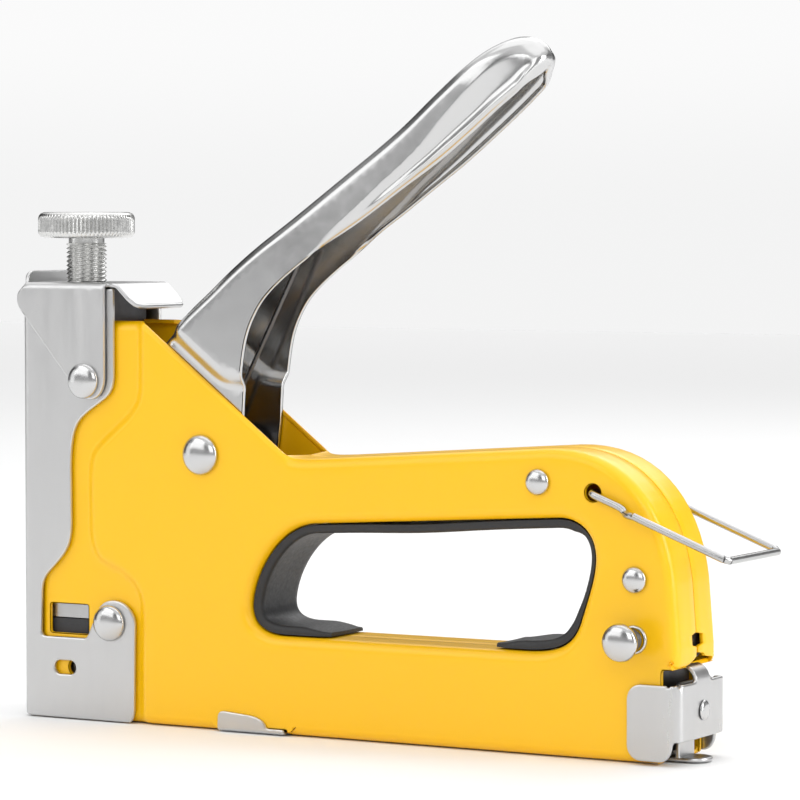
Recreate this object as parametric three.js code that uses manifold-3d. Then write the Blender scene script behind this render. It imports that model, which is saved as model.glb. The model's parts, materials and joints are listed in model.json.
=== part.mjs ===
// Hand staple gun: two pressed steel half shells on a steel nose, squeeze lever, spring driven hammer,
// spring load screw, bottom magazine with a rear latch, wire lever lock. Millimetres.
// +X runs from the nose to the rear, +Z is up, the tool stands on Z = 0, and Y = 0 is the middle plane.
// The origin is the point of the sole where the driver blade leaves the nose.
import * as THREE from 'three';
import Module from 'manifold-3d';
import { mergeVertices } from 'three/addons/utils/BufferGeometryUtils.js';

const wasm = await Module();
wasm.setup();

// Driving dimensions
const SHELL_HALF = 11.5;
const SHELL_SHEET = 1.1;
const SHELL_ROUND = 2.6;
const SEAM_HALF = 0.15;
const RECESS_OUT = 10.1;
const RECESS_IN = 9.0;
const SHEATH_HALF = 11.6;
const SHEATH_SHEET = 1.2;
const NOSE_FRONT = -2.5;
const BRACKET_HALF = 13.1;
const BRACKET_SHEET = 1.2;
const BRACKET_TOP = 114.6;
const PIVOT = [53.3, 70.7];
const SCREW_X = 10.3;
const SCREW_RADIUS = 5.4;
const KNOB_RADIUS = 12.8;
const KNOB_BOTTOM = 126.1;
const KNOB_TOP = 133.0;
const HAMMER_BOTTOM = 26.3;
const HAMMER_TOP = 70.0;
const ARM_TIP = [30.3, 61.9];
const RAIL_TOP = 13.0;
const CHANNEL_END = 183.0;
const LEVER_WIDE = 12.4;
const LEVER_ROOT = 10.0;
const LEVER_SHEET = 1.3;
const BAIL_PIVOT = [165.6, 65.0];
const BUTTON = [176.8, 29.9];
const GAP = 0.3;

// Materials
const yellow = new THREE.MeshStandardMaterial({ color: 0xfcc41f, roughness: 0.28, metalness: 0.0 });
const nickel = new THREE.MeshStandardMaterial({ color: 0xc4c5c6, roughness: 0.32, metalness: 1.0 });
const chrome = new THREE.MeshStandardMaterial({ color: 0xd4d6d8, roughness: 0.1, metalness: 1.0 });
const zinc = new THREE.MeshStandardMaterial({ color: 0xb4b7ba, roughness: 0.38, metalness: 1.0 });
const darkSteel = new THREE.MeshStandardMaterial({ color: 0x3a3b3d, roughness: 0.5, metalness: 0.9 });
const springSteel = new THREE.MeshStandardMaterial({ color: 0x8f9296, roughness: 0.3, metalness: 1.0 });
const rubber = new THREE.MeshStandardMaterial({ color: 0x2f3033, roughness: 0.75, metalness: 0.0 });

const group = new THREE.Group();

// Solid helpers
function solid(geometry) {
  const plain = geometry.clone();
  plain.deleteAttribute('normal');
  plain.deleteAttribute('uv');
  const merged = mergeVertices(plain, 1e-3);
  const triVerts = new Uint32Array(merged.index.array);
  const vertProperties = new Float32Array(merged.attributes.position.array);
  const made = new wasm.Manifold(new wasm.Mesh({ numProp: 3, vertProperties, triVerts }));
  if (made.volume() > 0) return made;
  for (let i = 0; i < triVerts.length; i += 3) {
    [triVerts[i + 1], triVerts[i + 2]] = [triVerts[i + 2], triVerts[i + 1]];
  }
  return new wasm.Manifold(new wasm.Mesh({ numProp: 3, vertProperties, triVerts }));
}

function geometryOf(body) {
  const mesh = body.getMesh();
  const geometry = new THREE.BufferGeometry();
  const positions = new Float32Array(mesh.numVert * 3);
  for (let i = 0; i < mesh.numVert; i += 1) {
    for (let k = 0; k < 3; k += 1) positions[3 * i + k] = mesh.vertProperties[mesh.numProp * i + k];
  }
  geometry.setAttribute('position', new THREE.BufferAttribute(positions, 3));
  geometry.setIndex(new THREE.BufferAttribute(new Uint32Array(mesh.triVerts), 1));
  geometry.computeVertexNormals();
  return geometry;
}

function add(name, body, material) {
  const mesh = new THREE.Mesh(geometryOf(body), material.clone());
  mesh.name = name;
  group.add(mesh);
}

const join = (first, ...rest) => rest.reduce((a, b) => a.add(b), first);
const cut = (first, ...rest) => rest.reduce((a, b) => a.subtract(b), first);

function box(x0, x1, y0, y1, z0, z1) {
  const geometry = new THREE.BoxGeometry(x1 - x0, y1 - y0, z1 - z0);
  geometry.translate((x0 + x1) / 2, (y0 + y1) / 2, (z0 + z1) / 2);
  return solid(geometry);
}

function outline(points) {
  const shape = new THREE.Shape();
  shape.moveTo(...points[0]);
  points.slice(1).forEach((p) => shape.lineTo(...p));
  shape.closePath();
  return shape;
}

// A side-view shape (x, z) given its thickness from y0 to y1, with rounded faces and an inset if asked
function plate(shape, y0, y1, { round = 0, inset = 0, segments = 3, curves = 6 } = {}) {
  const geometry = new THREE.ExtrudeGeometry(shape, {
    depth: y1 - y0 - 2 * round,
    steps: 1,
    curveSegments: curves,
    bevelEnabled: round > 0,
    bevelThickness: round,
    bevelSize: round,
    bevelOffset: -round - inset,
    bevelSegments: segments,
  });
  geometry.rotateX(Math.PI / 2);
  geometry.translate(0, y1 - round, 0);
  return solid(geometry);
}

// A plan-view shape (x, y) standing from z0 to z1
function slab(shape, z0, z1, curves = 8) {
  const settings = { depth: z1 - z0, bevelEnabled: false, curveSegments: curves };
  const geometry = new THREE.ExtrudeGeometry(shape, settings);
  geometry.translate(0, 0, z0);
  return solid(geometry);
}

function lathe(profile, segments) {
  return new THREE.LatheGeometry(profile.map((p) => new THREE.Vector2(...p)), segments);
}

// Turned pieces: the profile holds (radius, place along the axis) pairs and starts and ends on the axis
function turnedY(profile, x, z, segments = 24) {
  const geometry = lathe(profile, segments);
  geometry.translate(x, 0, z);
  return solid(geometry);
}

function turnedZ(profile, x, y, segments = 24) {
  const geometry = lathe(profile, segments);
  geometry.rotateX(Math.PI / 2);
  geometry.translate(x, y, 0);
  return solid(geometry);
}

function turnedX(profile, y, z, segments = 16) {
  const geometry = lathe(profile, segments);
  geometry.rotateZ(-Math.PI / 2);
  geometry.translate(0, y, z);
  return solid(geometry);
}

const rodY = (radius, x, z, y0, y1, segments = 20) =>
  turnedY([[0, y0], [radius, y0], [radius, y1], [0, y1]], x, z, segments);

// A round wire along a curve
function wire(curve, radius, steps, sides = 8) {
  const section = new THREE.Shape();
  section.absarc(0, 0, radius, 0, 2 * Math.PI, false);
  return solid(new THREE.ExtrudeGeometry(section, {
    steps, extrudePath: curve, bevelEnabled: false, curveSegments: sides,
  }));
}

class Helix extends THREE.Curve {
  constructor(radius, length, turns, place) {
    super();
    Object.assign(this, { radius, length, turns, place });
  }

  getPoint(t) {
    const angle = 2 * Math.PI * this.turns * t;
    return this.place(this.radius * Math.cos(angle), this.radius * Math.sin(angle), this.length * t);
  }
}

// A rivet head: a low dome on a short rim, from the seat outwards
function domeProfile(radius, rise, seat, sign) {
  const points = [[radius, seat + sign * 0.3]];
  const steps = 5;
  for (let i = 1; i <= steps; i += 1) {
    const angle = (i / steps) * Math.PI / 2;
    points.push([radius * Math.cos(angle), seat + sign * (0.3 + (rise - 0.3) * Math.sin(angle))]);
  }
  points[points.length - 1][0] = 0;
  return points;
}

// A cross rivet along Y with a domed head outside each side wall
function crossRivet(x, z, shank, head, rise, seat) {
  const low = domeProfile(head, rise, -seat, -1).reverse();
  const high = domeProfile(head, rise, seat, 1);
  return turnedY([...low, [head, -seat], [shank, -seat], [shank, seat], [head, seat], ...high], x, z);
}

// Half shells
const shellOutline = new THREE.Shape();
shellOutline.moveTo(1.6, 0);
shellOutline.lineTo(184.3, 0);
shellOutline.absarc(184.3, 4, 4, -Math.PI / 2, 0, false);
shellOutline.lineTo(188.3, 28);
shellOutline.lineTo(187.0, 44);
shellOutline.bezierCurveTo(184.5, 64, 172, 76.6, 152, 75.3);
shellOutline.lineTo(88, 70.8);
shellOutline.lineTo(77.4, 71.9);
shellOutline.lineTo(35.2, 104.3);
shellOutline.lineTo(33.9, 104.7);
shellOutline.lineTo(1.6, 104.7);
shellOutline.closePath();

function handOpening(grow = 0) {
  const path = new THREE.Path();
  path.moveTo(86, 54.2 + grow);
  path.bezierCurveTo(76, 53.6 + grow, 68 - grow, 42, 67.3 - grow, 33);
  path.bezierCurveTo(67 - grow, 27.5, 71, 25 - grow, 77, 25 - grow);
  path.lineTo(147, 25.2 - grow);
  path.bezierCurveTo(155, 25.4 - grow, 159.5, 27, 161.6 + grow, 33);
  path.bezierCurveTo(163.5 + grow, 39, 165.5 + grow, 44, 165.6 + grow, 48.5);
  path.bezierCurveTo(165.8 + grow, 55, 161, 58.8 + grow, 155, 58.4 + grow);
  path.closePath();
  return path;
}
shellOutline.holes.push(handOpening());

const recessPoints = [
  [-5, -2], [34.5, -2], [34.5, 29], [33, 35], [29, 38.5], [21, 42], [18.5, 48], [18.5, 64],
  [19, 69], [23, 74], [31, 80.5], [34, 86], [34, 112], [-5, 112],
];

function pressedShell() {
  const skin = plate(shellOutline, -SHELL_HALF, SHELL_HALF, { round: SHELL_ROUND });
  const inner = SHELL_HALF - SHELL_SHEET;
  const hollow = plate(shellOutline, -inner, inner, { round: SHELL_ROUND - SHELL_SHEET, inset: SHELL_SHEET });
  const step = (y0, y1) => plate(outline(recessPoints), y0, y1);
  const stepGrown = (y0, y1) => plate(outline(recessPoints), y0, y1).translate([SHELL_SHEET, 0, 0]);
  const room = cut(hollow, stepGrown(RECESS_IN, 13), stepGrown(-13, -RECESS_IN));
  const leverMouth = outline([[33, 107], [34.2, 101.6], [71.8, 72.6], [79, 68], [81, 77], [60, 110]]);
  return cut(
    skin,
    room,
    step(RECESS_OUT, 13),
    step(-13, -RECESS_OUT),
    box(1, 190, -7.6, 7.6, -1, 1.5),
    box(0, 3.5, -7.6, 7.6, -1, 18),
    plate(leverMouth, -10.4, 10.4),
    box(0, 34.4, -RECESS_IN, RECESS_IN, 103, 106),
    box(0, 3.5, -6.5, 6.5, -1, 106),
    box(184.2, 190, -13, 13, -1, 22.9),
    box(186, 190, -2.6, 2.6, 27, 33),
    box(5.2, 17.5, -13, -8, 22, 30),
    box(5.2, 17.5, 8, 13, 22, 30),
    box(56.8, 73.6, -13, -7, -1, 5.7),
    box(56.8, 73.6, 7, 13, -1, 5.7),
    box(73, 79.1, -13, -7, -1, 1.9),
    box(73, 79.1, 7, 13, -1, 1.9),
    rodY(3.3, ...PIVOT, -13, 13),
    rodY(2.9, 25, 25.8, -13, 13),
    rodY(2.9, 18.1, 89, -13, 13),
    rodY(2.1, 150.7, 67.1, -13, 13, 16),
    rodY(2.1, 177.0, 44.4, -13, 13, 16),
    rodY(1.3, ...BAIL_PIVOT, -13, 13, 12),
    rodY(2.0, 12.6, 13.4, -13, 13, 16),
  );
}

function makeShells() {
  const whole = pressedShell();
  const left = cut(whole, box(-10, 200, -SEAM_HALF, 20, -5, 120), rodY(3.3, ...BUTTON, -13, -8));
  const right = cut(whole, box(-10, 200, -20, SEAM_HALF, -5, 120));
  add('left_shell', left, yellow);
  add('right_shell', right, yellow);
}

// Steel nose: a folded channel with shaped sides
function makeSheath() {
  const side = new THREE.Shape();
  side.moveTo(NOSE_FRONT, 1.5);
  side.absarc(NOSE_FRONT + 1.5, 1.5, 1.5, Math.PI, 1.5 * Math.PI, false);
  side.lineTo(31.3, 0);
  side.lineTo(32.5, 3);
  side.lineTo(32.8, 25.9);
  side.bezierCurveTo(32.4, 29.5, 29.5, 31.8, 26.2, 31.8);
  side.bezierCurveTo(23.5, 31.8, 21.8, 30.6, 20.8, 28.4);
  side.lineTo(17.8, 22);
  side.lineTo(16.8, 21.4);
  side.lineTo(4.2, 21.4);
  side.lineTo(3.3, 22.4);
  side.lineTo(3.5, 33.3);
  side.bezierCurveTo(3.8, 37, 5.4, 38, 7.6, 40.2);
  side.bezierCurveTo(11.5, 44, 12.9, 46, 12.9, 52);
  side.lineTo(12.8, 66);
  side.bezierCurveTo(12.9, 76, 14.5, 78.2, 18.5, 81);
  side.lineTo(23.5, 84.3);
  side.bezierCurveTo(25.8, 86, 26.4, 88, 26.4, 91);
  side.lineTo(26.4, 113.1);
  side.lineTo(NOSE_FRONT + SHEATH_SHEET, 113.1);
  side.lineTo(NOSE_FRONT + SHEATH_SHEET, 117.7);
  side.lineTo(NOSE_FRONT, 117.7);
  side.closePath();
  const inner = SHEATH_HALF - SHEATH_SHEET;
  const slot = join(
    box(9.3, 12.3, -13, 13, 11.6, 15.2),
    rodY(1.8, 9.3, 13.4, -13, 13, 16),
    rodY(1.8, 12.3, 13.4, -13, 13, 16),
  );
  add('nose_sheath', cut(
    plate(side, -SHEATH_HALF, SHEATH_HALF),
    box(NOSE_FRONT + SHEATH_SHEET, 40, -inner, inner, -1, 120),
    slot,
    rodY(2.9, 25, 25.8, -13, 13),
    rodY(2.9, 18.1, 89, -13, 13),
  ), nickel);
}

// Top bracket: a cap over the nose with two side ears and a sloping rear flap
function makeBracket() {
  const under = BRACKET_TOP - BRACKET_SHEET;
  const ear = new THREE.Shape();
  ear.moveTo(24.4, BRACKET_TOP);
  ear.lineTo(-0.9, BRACKET_TOP);
  ear.bezierCurveTo(-2.4, 113.4, -3.1, 112, -3.1, 110.2);
  ear.bezierCurveTo(-3.1, 108.6, -2.6, 107.9, -1.9, 107);
  ear.lineTo(14.6, 87.6);
  ear.bezierCurveTo(16.6, 85.2, 18.8, 84, 20.4, 84.2);
  ear.bezierCurveTo(23, 84.6, 24.4, 87, 24.4, 90);
  ear.closePath();
  const cap = box(-0.9, 27.2, -BRACKET_HALF, BRACKET_HALF, under, BRACKET_TOP);
  const flap = plate(outline([
    [26.6, BRACKET_TOP], [26.6, under], [27.0, under], [35.6, 106.4], [36.4, 107.4], [28.2, 114.2],
  ]), -12.3, 12.3);
  const ears = cut(
    plate(ear, -BRACKET_HALF, BRACKET_HALF),
    box(-5, 40, -BRACKET_HALF + BRACKET_SHEET, BRACKET_HALF - BRACKET_SHEET, 80, under),
    box(-5, -0.9, -BRACKET_HALF + BRACKET_SHEET, BRACKET_HALF - BRACKET_SHEET, 80, 116),
  );
  add('top_bracket', cut(
    join(ears, cap, flap),
    turnedZ([[0, 110], [SCREW_RADIUS + GAP, 110], [SCREW_RADIUS + GAP, 118], [0, 118]], SCREW_X, 0),
    box(24.5, 26.4, -14, -11, 110, 116),
    box(24.5, 26.4, 11, 14, 110, 116),
    rodY(2.9, 18.1, 89, -14, 14),
  ), nickel);
  const nut = cut(
    join(box(1.5, 23.5, -8.4, 8.4, 109, 113.1), box(22.3, 23.5, -8.4, 8.4, 95, 110)),
    turnedZ([[0, 105], [SCREW_RADIUS + GAP, 105], [SCREW_RADIUS + GAP, 118], [0, 118]], SCREW_X, 0),
  );
  add('nut_plate', nut, darkSteel);
  [['left', -1], ['right', 1]].forEach(([side, sign]) => {
    const seat = sign * (BRACKET_HALF + 0.1);
    const rivet = turnedY([
      [0, sign * 9.2], [2.6, sign * 9.2], [2.6, seat], [4.65, seat],
      ...domeProfile(4.65, 2.0, seat, sign),
    ], 18.1, 89);
    add(`bracket_rivet_${side}`, rivet, nickel);
  });
}

// Spring load screw: knurled knob, threaded stem, and the seat that the stem pushes down
function makeTension() {
  const teeth = 48;
  const knurl = new THREE.Shape();
  for (let i = 0; i < 2 * teeth; i += 1) {
    const angle = (Math.PI * i) / teeth;
    const radius = i % 2 ? KNOB_RADIUS - 0.45 : KNOB_RADIUS;
    const point = [radius * Math.cos(angle), radius * Math.sin(angle)];
    if (i) knurl.lineTo(...point);
    else knurl.moveTo(...point);
  }
  knurl.closePath();
  const blank = turnedZ([
    [0, KNOB_BOTTOM], [11.8, KNOB_BOTTOM], [KNOB_RADIUS, KNOB_BOTTOM + 1.1],
    [KNOB_RADIUS, KNOB_TOP - 1.4], [11.4, KNOB_TOP], [0, KNOB_TOP],
  ], SCREW_X, 0, 48);
  const bore = turnedZ([[0, 120], [3.3, 120], [3.3, 131.3], [0, 131.3]], SCREW_X, 0, 16);
  const grip = slab(knurl, KNOB_BOTTOM, KNOB_TOP).translate([SCREW_X, 0, 0]);
  add('tension_knob', cut(blank.intersect(grip), bore), zinc);
  add('tension_screw', turnedZ([
    [0, 104.4], [4.2, 104.4], [SCREW_RADIUS, 105.6], [SCREW_RADIUS, KNOB_BOTTOM - GAP],
    [3.0, KNOB_BOTTOM - GAP], [3.0, 131.0], [0, 131.0],
  ], SCREW_X, 0), zinc);
  add('spring_seat', turnedZ([
    [0, 99.5], [4.6, 99.5], [4.6, 101.4], [7.9, 101.4], [7.9, 104.1], [0, 104.1],
  ], SCREW_X, 0), darkSteel);
  const onHammer = (a, b, c) => new THREE.Vector3(SCREW_X + a, b, HAMMER_TOP + 1.35 + c);
  const coil = new Helix(6.2, 28.4, 6.5, onHammer);
  add('main_spring', wire(coil, 1.0, 104, 4), springSteel);
}

// Hammer, driver blade, and the buffer they land on
function makeHammer() {
  const [tipX, tipZ] = ARM_TIP;
  const block = box(2.2, 19.5, -6.2, 6.2, HAMMER_BOTTOM, HAMMER_TOP);
  const foot = box(4.4, 18.6, -8.4, 8.4, HAMMER_BOTTOM, 32.4);
  const tongue = box(19, 34, -5, 5, tipZ - 8.4, tipZ + 8.0);
  const slot = join(
    plate(outline([
      [tipX - 1.8, tipZ - 3.8], [tipX, tipZ - 3.8], [35, tipZ - 5.9],
      [35, tipZ + 5.9], [tipX, tipZ + 3.8], [tipX - 1.8, tipZ + 3.8],
    ]), -9, 9),
    rodY(3.8, tipX - 1.8, tipZ, -9, 9),
  );
  const post = turnedZ([[0, 68], [4.4, 68], [4.4, 73], [0, 73]], SCREW_X, 0, 16);
  const hook = box(-0.7, 3, -2.2, 2.2, 60, 62.5);
  add('hammer', join(cut(join(block, foot, tongue), slot), post, hook), zinc);
  const blade = cut(box(-0.65, 0.65, -5.6, 5.6, 1.2, 66), box(-2, 2, -2.5, 2.5, 59.7, 62.8));
  add('driver_blade', blade, nickel);
  add('rubber_bumper', box(4.2, 19.2, -8.4, 8.4, 20.9, 26.0), rubber);
  add('bumper_plate', box(3.2, 31, -8.7, 8.7, 18.4, 20.6), darkSteel);
}

// Squeeze lever: a pressed channel, wide above the shells, closed at its tip
const leverAlong = (x, z) => 0.7 * (x - PIVOT[0]) + 0.714 * (z - PIVOT[1]);

function leverHalf(along) {
  const grip = THREE.MathUtils.smoothstep(along, 48, 105);
  const half = LEVER_WIDE - 2.4 * grip;
  const tip = Math.max(0, along - 126) / 13.4;
  return half * Math.sqrt(Math.max(0.06, 1 - tip * tip));
}

function taper(geometry, trim) {
  const position = geometry.attributes.position;
  for (let i = 0; i < position.count; i += 1) {
    const half = leverHalf(leverAlong(position.getX(i), position.getZ(i))) - trim;
    position.setY(i, (position.getY(i) * half) / (LEVER_WIDE - trim));
  }
  return solid(geometry);
}

function leverHandle(half, trim, inset) {
  const side = new THREE.Shape();
  side.moveTo(40.5, 101.2);
  side.lineTo(48.1, 107.8);
  [[61.8, 119.2], [79.7, 132.2], [94.4, 143], [108.5, 153.6], [120, 163.2], [130.5, 171.6], [136.4, 175.3],
    [141.6, 176.3], [146.6, 174.9], [149.6, 171.6], [148.6, 168.4], [141.5, 162.2],
    [131.5, 153.6], [120.8, 145.6], [110.5, 138.8], [100.5, 132.0], [89.5, 124.8],
    [79.5, 117.6], [70.6, 110.2]].forEach((p) => side.lineTo(...p));
  side.lineTo(66.3, 102);
  side.lineTo(65.4, 92.3);
  side.closePath();
  const round = 3.2 - inset;
  const geometry = new THREE.ExtrudeGeometry(side, {
    depth: 2 * (half - round), bevelEnabled: true, bevelThickness: round, bevelSize: round,
    bevelOffset: -round - inset, bevelSegments: 3, curveSegments: 2,
  });
  geometry.rotateX(Math.PI / 2);
  geometry.translate(0, half - round, 0);
  return taper(geometry, trim);
}

function leverRoot(half, inset) {
  const side = outline([[44, 74], [36, 94], [37.5, 98.6], [48.5, 108.2], [56, 113], [69, 113],
    [66.6, 103], [65.4, 92], [65, 83], [62.5, 66], [56, 61], [49, 62]]);
  return plate(side, -half, half, { round: 1.5, inset, segments: 2 });
}

function makeLever() {
  const shell = join(leverRoot(LEVER_ROOT, 0), leverHandle(LEVER_WIDE, 0, 0));
  const hollow = leverHandle(LEVER_WIDE - LEVER_SHEET, LEVER_SHEET, LEVER_SHEET);
  const rootRoom = plate(
    outline([
      [30, 60], [37.6, 94], [38.6, 97.4], [49.4, 106.8], [57, 111], [68, 116], [80, 100], [70, 50], [40, 50],
    ]),
    -LEVER_ROOT + LEVER_SHEET, LEVER_ROOT - LEVER_SHEET,
  );
  const mouth = plate(
    outline([[64, 80], [64, 104], [68.4, 113], [78.5, 120.3], [99.2, 134.6], [119.5, 148.4], [138, 163.4],
      [146, 157], [120, 135], [80, 105]]),
    -7.4, 7.4,
  );
  add('lever', cut(shell, hollow, rootRoom, mouth, rodY(3.3, ...PIVOT, -13, 13)), chrome);
  const [px, pz] = PIVOT;
  const [tx, tz] = ARM_TIP;
  const reach = Math.hypot(tx - px, tz - pz);
  const [ux, uz] = [(tx - px) / reach, (tz - pz) / reach];
  const spot = (along, across) => [px + ux * along - uz * across, pz + uz * along + ux * across];
  const bar = outline([
    spot(0, 6.4), spot(13, 4.4), spot(18.5, 2.4), spot(reach, 2.4),
    spot(reach, -2.4), spot(18.5, -2.4), spot(13, -4.4), spot(0, -6.4),
  ]);
  const arm = join(
    rodY(7.2, px, pz, -3.6, 3.6, 28),
    plate(bar, -3.6, 3.6),
    rodY(3.2, tx, tz, -3.6, 3.6),
  );
  add('lever_arm', cut(arm, rodY(3.3, px, pz, -13, 13)), darkSteel);
  add('lever_pivot_rivet', crossRivet(px, pz, 2.95, 5.25, 2.6, SHELL_HALF + 0.15), chrome);
}

function makeReturnSpring() {
  const [px, pz] = PIVOT;
  const radius = 5.6;
  const turns = 2.25;
  const inner = 4.6;
  const pitch = 1.45;
  const start = Math.atan2(0.449, -0.893);
  const points = [new THREE.Vector3(px - radius * 0.893 + 0.449 * 56, 6.6, pz + radius * 0.449 + 0.893 * 56)];
  points.push(new THREE.Vector3(px - radius * 0.893 + 0.449 * 18, 5.6, pz + radius * 0.449 + 0.893 * 18));
  const steps = Math.round(turns * 14);
  for (let i = 0; i <= steps; i += 1) {
    const angle = start + (2 * Math.PI * turns * i) / steps;
    const y = inner + (pitch * turns * i) / steps;
    points.push(new THREE.Vector3(px + radius * Math.cos(angle), y, pz + radius * Math.sin(angle)));
  }
  const path = new THREE.CatmullRomCurve3(points, false, 'chordal');
  add('return_spring', wire(path, 0.62, 110, 3), springSteel);
}

// Fasteners and spacers of the shells
function makeFasteners() {
  add('lower_rivet', crossRivet(25, 25.8, 2.6, 4.75, 2.2, SHEATH_HALF + 0.15), nickel);
  [['front', 150.7, 67.1], ['rear', 177.0, 44.4]].forEach(([place, x, z]) => {
    add(`handle_rivet_${place}`, crossRivet(x, z, 1.8, 3.25, 1.9, SHELL_HALF + 0.1), chrome);
    const tube = turnedY([[2.1, -10], [3.3, -10], [3.3, 10], [2.1, 10], [2.1, -10]], x, z, 16);
    add(`spacer_${place}`, tube, zinc);
  });
}

// Rubber lining of the hand opening, open along the middle of its lower side
function makeGrip() {
  const outer = new THREE.Shape(handOpening(0).getPoints(6));
  const ring = cut(
    plate(outer, -9.3, 9.3, { round: 0.6, inset: 0.45, segments: 1 }),
    plate(outer, -12, 12, { round: 0.1, inset: 2.6, segments: 1 }),
    box(92, 137, -12, 12, 20, 32),
  );
  add('grip_insert', ring, rubber);
}

// Magazine: outer channel with its side lugs, inner rail, staples, pusher
function makeMagazine() {
  const channel = cut(
    box(1.4, CHANNEL_END, -7.2, 7.2, 1.3, 16.8),
    box(0, 190, -6.2, 6.2, 2.3, 20),
    rodY(2.0, 12.6, 13.4, -9, 9, 12),
  );
  add('magazine_channel', channel, zinc);
  const lug = new THREE.Shape();
  lug.moveTo(58.5, 0);
  lug.lineTo(58.6, 3.6);
  lug.bezierCurveTo(58.8, 4.8, 59.4, 5.2, 61, 5.1);
  lug.lineTo(68.3, 4.4);
  lug.bezierCurveTo(71, 4, 72.6, 3.2, 72.9, 1.6);
  lug.lineTo(78.4, 1.4);
  lug.lineTo(78.4, 0);
  lug.closePath();
  add('magazine_clip', cut(
    plate(lug, -12.4, 12.4),
    box(50, 80, -11.4, 11.4, 1.0, 8),
  ), nickel);
  add('magazine_rail', cut(
    box(1.6, 178, -4.7, 4.7, 2.6, RAIL_TOP),
    box(0, 180, -3.7, 3.7, 0, RAIL_TOP - 1),
    box(42, 180, -1.2, 1.2, 0, 20),
  ), zinc);
  add('staple_strip', cut(
    box(1.6, 41, -5.7, 5.7, 4, RAIL_TOP + 1.0),
    box(0, 50, -5.0, 5.0, 0, RAIL_TOP + GAP),
  ), springSteel);
  const saddle = cut(
    box(41.4, 56, -5.8, 5.8, 4.4, 15.4),
    box(40, 60, -5.0, 5.0, 0, RAIL_TOP + GAP),
  );
  const runner = join(box(43, 56, -0.9, 0.9, 11, 14), box(43, 56, -3.3, 3.3, 4.9, 11.6));
  const rodBore = turnedX([[0, 30], [1.8, 30], [1.8, 70], [0, 70]], 0, 8);
  add('pusher', cut(join(saddle, runner), rodBore), zinc);
  add('pusher_rod', turnedX([
    [0, 40.5], [2.5, 40.5], [2.5, 42.6], [1.5, 42.6], [1.5, 184.2], [0, 184.2],
  ], 0, 8, 12), zinc);
  const coil = new Helix(2.5, 124, 31, (a, b, c) => new THREE.Vector3(57 + c, a, 8 + b));
  add('pusher_spring', wire(coil, 0.4, 310, 2), springSteel);
}

// Rear end: end plate with its foot, U-shaped latch, catch inside the shells
function makeRear() {
  const foot = new THREE.Shape();
  foot.moveTo(180.5, -4.6);
  foot.lineTo(187.6, -4.6);
  foot.absarc(187.6, 0, 4.6, -Math.PI / 2, Math.PI / 2, false);
  foot.lineTo(180.5, 4.6);
  foot.closePath();
  add('end_plate', join(slab(foot, 0, 1.0), box(184.5, 185.7, -4.6, 4.6, 0.5, 19.4)), nickel);
  const wing = new THREE.Shape();
  wing.moveTo(190.0, 19.4);
  wing.lineTo(179.5, 19.4);
  wing.absarc(179.5, 15.4, 4, Math.PI / 2, Math.PI, false);
  wing.lineTo(175.5, 4.8);
  wing.absarc(179.5, 4.8, 4, Math.PI, 1.5 * Math.PI, false);
  wing.lineTo(184.5, 0.8);
  wing.absarc(185.0, 5.8, 5, -Math.PI / 2, 0, false);
  wing.closePath();
  const clip = cut(
    plate(wing, -13.0, 13.0),
    box(170, 188.8, -11.8, 11.8, -2, 21),
    box(186, 192, -10.5, 10.5, -2, 5.6),
  );
  const tab = plate(outline([
    [188.8, 18.9], [190, 18.9], [189.6, 20.6], [188.2, 22.0], [186.2, 22.7], [184.9, 22.5],
    [184.9, 21.5], [186.0, 21.6], [187.4, 21.0], [188.5, 19.9],
  ]), -3.4, 3.4);
  add('rear_latch', cut(
    join(clip, tab),
    turnedX([[0, 180], [1.9, 180], [1.9, 195], [0, 195]], 0, 12.4),
  ), nickel);
  add('latch_rivet', turnedX([
    [0, 186.0], [2.4, 186.0], [2.4, 188.5], [1.6, 188.5],
    [1.6, 190.1], [2.5, 190.1], [2.1, 190.7], [0, 190.9],
  ], 0, 12.4), nickel);
  add('catch_plate', join(
    box(184.5, 185.5, -6.5, 6.5, 24.2, 38),
    box(184.6, 187.0, -2.0, 1.2, 28.6, 29.7),
  ), nickel);
}

// Side button with its spring and rim
function makeButton() {
  const [x, z] = BUTTON;
  add('side_button', turnedY([
    [0, -7.2], [3.9, -7.2], [3.9, -8.4], [1.8, -8.4], [1.8, -18.6], [4.3, -18.6], [4.7, -19.2],
    [4.5, -20.0], [3.4, -20.8], [1.8, -21.3], [0, -21.4],
  ], x, z), chrome);
  add('button_rim', turnedY([
    [2.9, -12.2], [3.3, -12.1], [3.6, -11.65], [2.9, -11.65], [2.9, -12.2],
  ], x, z), nickel);
  const coil = new Helix(2.3, 5.6, 4.5, (a, b, c) => new THREE.Vector3(x + a, -18.0 + c, z + b));
  add('button_spring', wire(coil, 0.38, 54, 2), springSteel);
}

// Wire bail that swings up over the closed lever
function makeBail() {
  const radius = 0.95;
  const [px, pz] = BAIL_PIVOT;
  const dir = [0.932, -0.363];
  const at = (along, y) => new THREE.Vector3(px + dir[0] * along, y, pz + dir[1] * along);
  const half = [
    [0, 9.6], [0, 11.4], [0.5, 12.6], [1.6, 12.9], [9.0, 12.9], [11.4, 13.4], [14.5, 15.2], [37.5, 15.2],
    [39.6, 14.6], [40.3, 12.8],
  ];
  const points = [
    ...half.map(([along, y]) => at(along, -y)),
    ...half.slice().reverse().map(([along, y]) => at(along, y)),
  ];
  const path = new THREE.CatmullRomCurve3(points, false, 'centripetal');
  add('wire_bail', wire(path, radius, 76, 4), chrome);
}

makeShells();
makeSheath();
makeBracket();
makeTension();
makeHammer();
makeLever();
makeReturnSpring();
makeFasteners();
makeGrip();
makeMagazine();
makeRear();
makeButton();
makeBail();

export default group;
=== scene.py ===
import bpy
import json
import math
import numpy as np
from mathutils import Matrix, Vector
from mathutils.geometry import delaunay_2d_cdt


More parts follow.
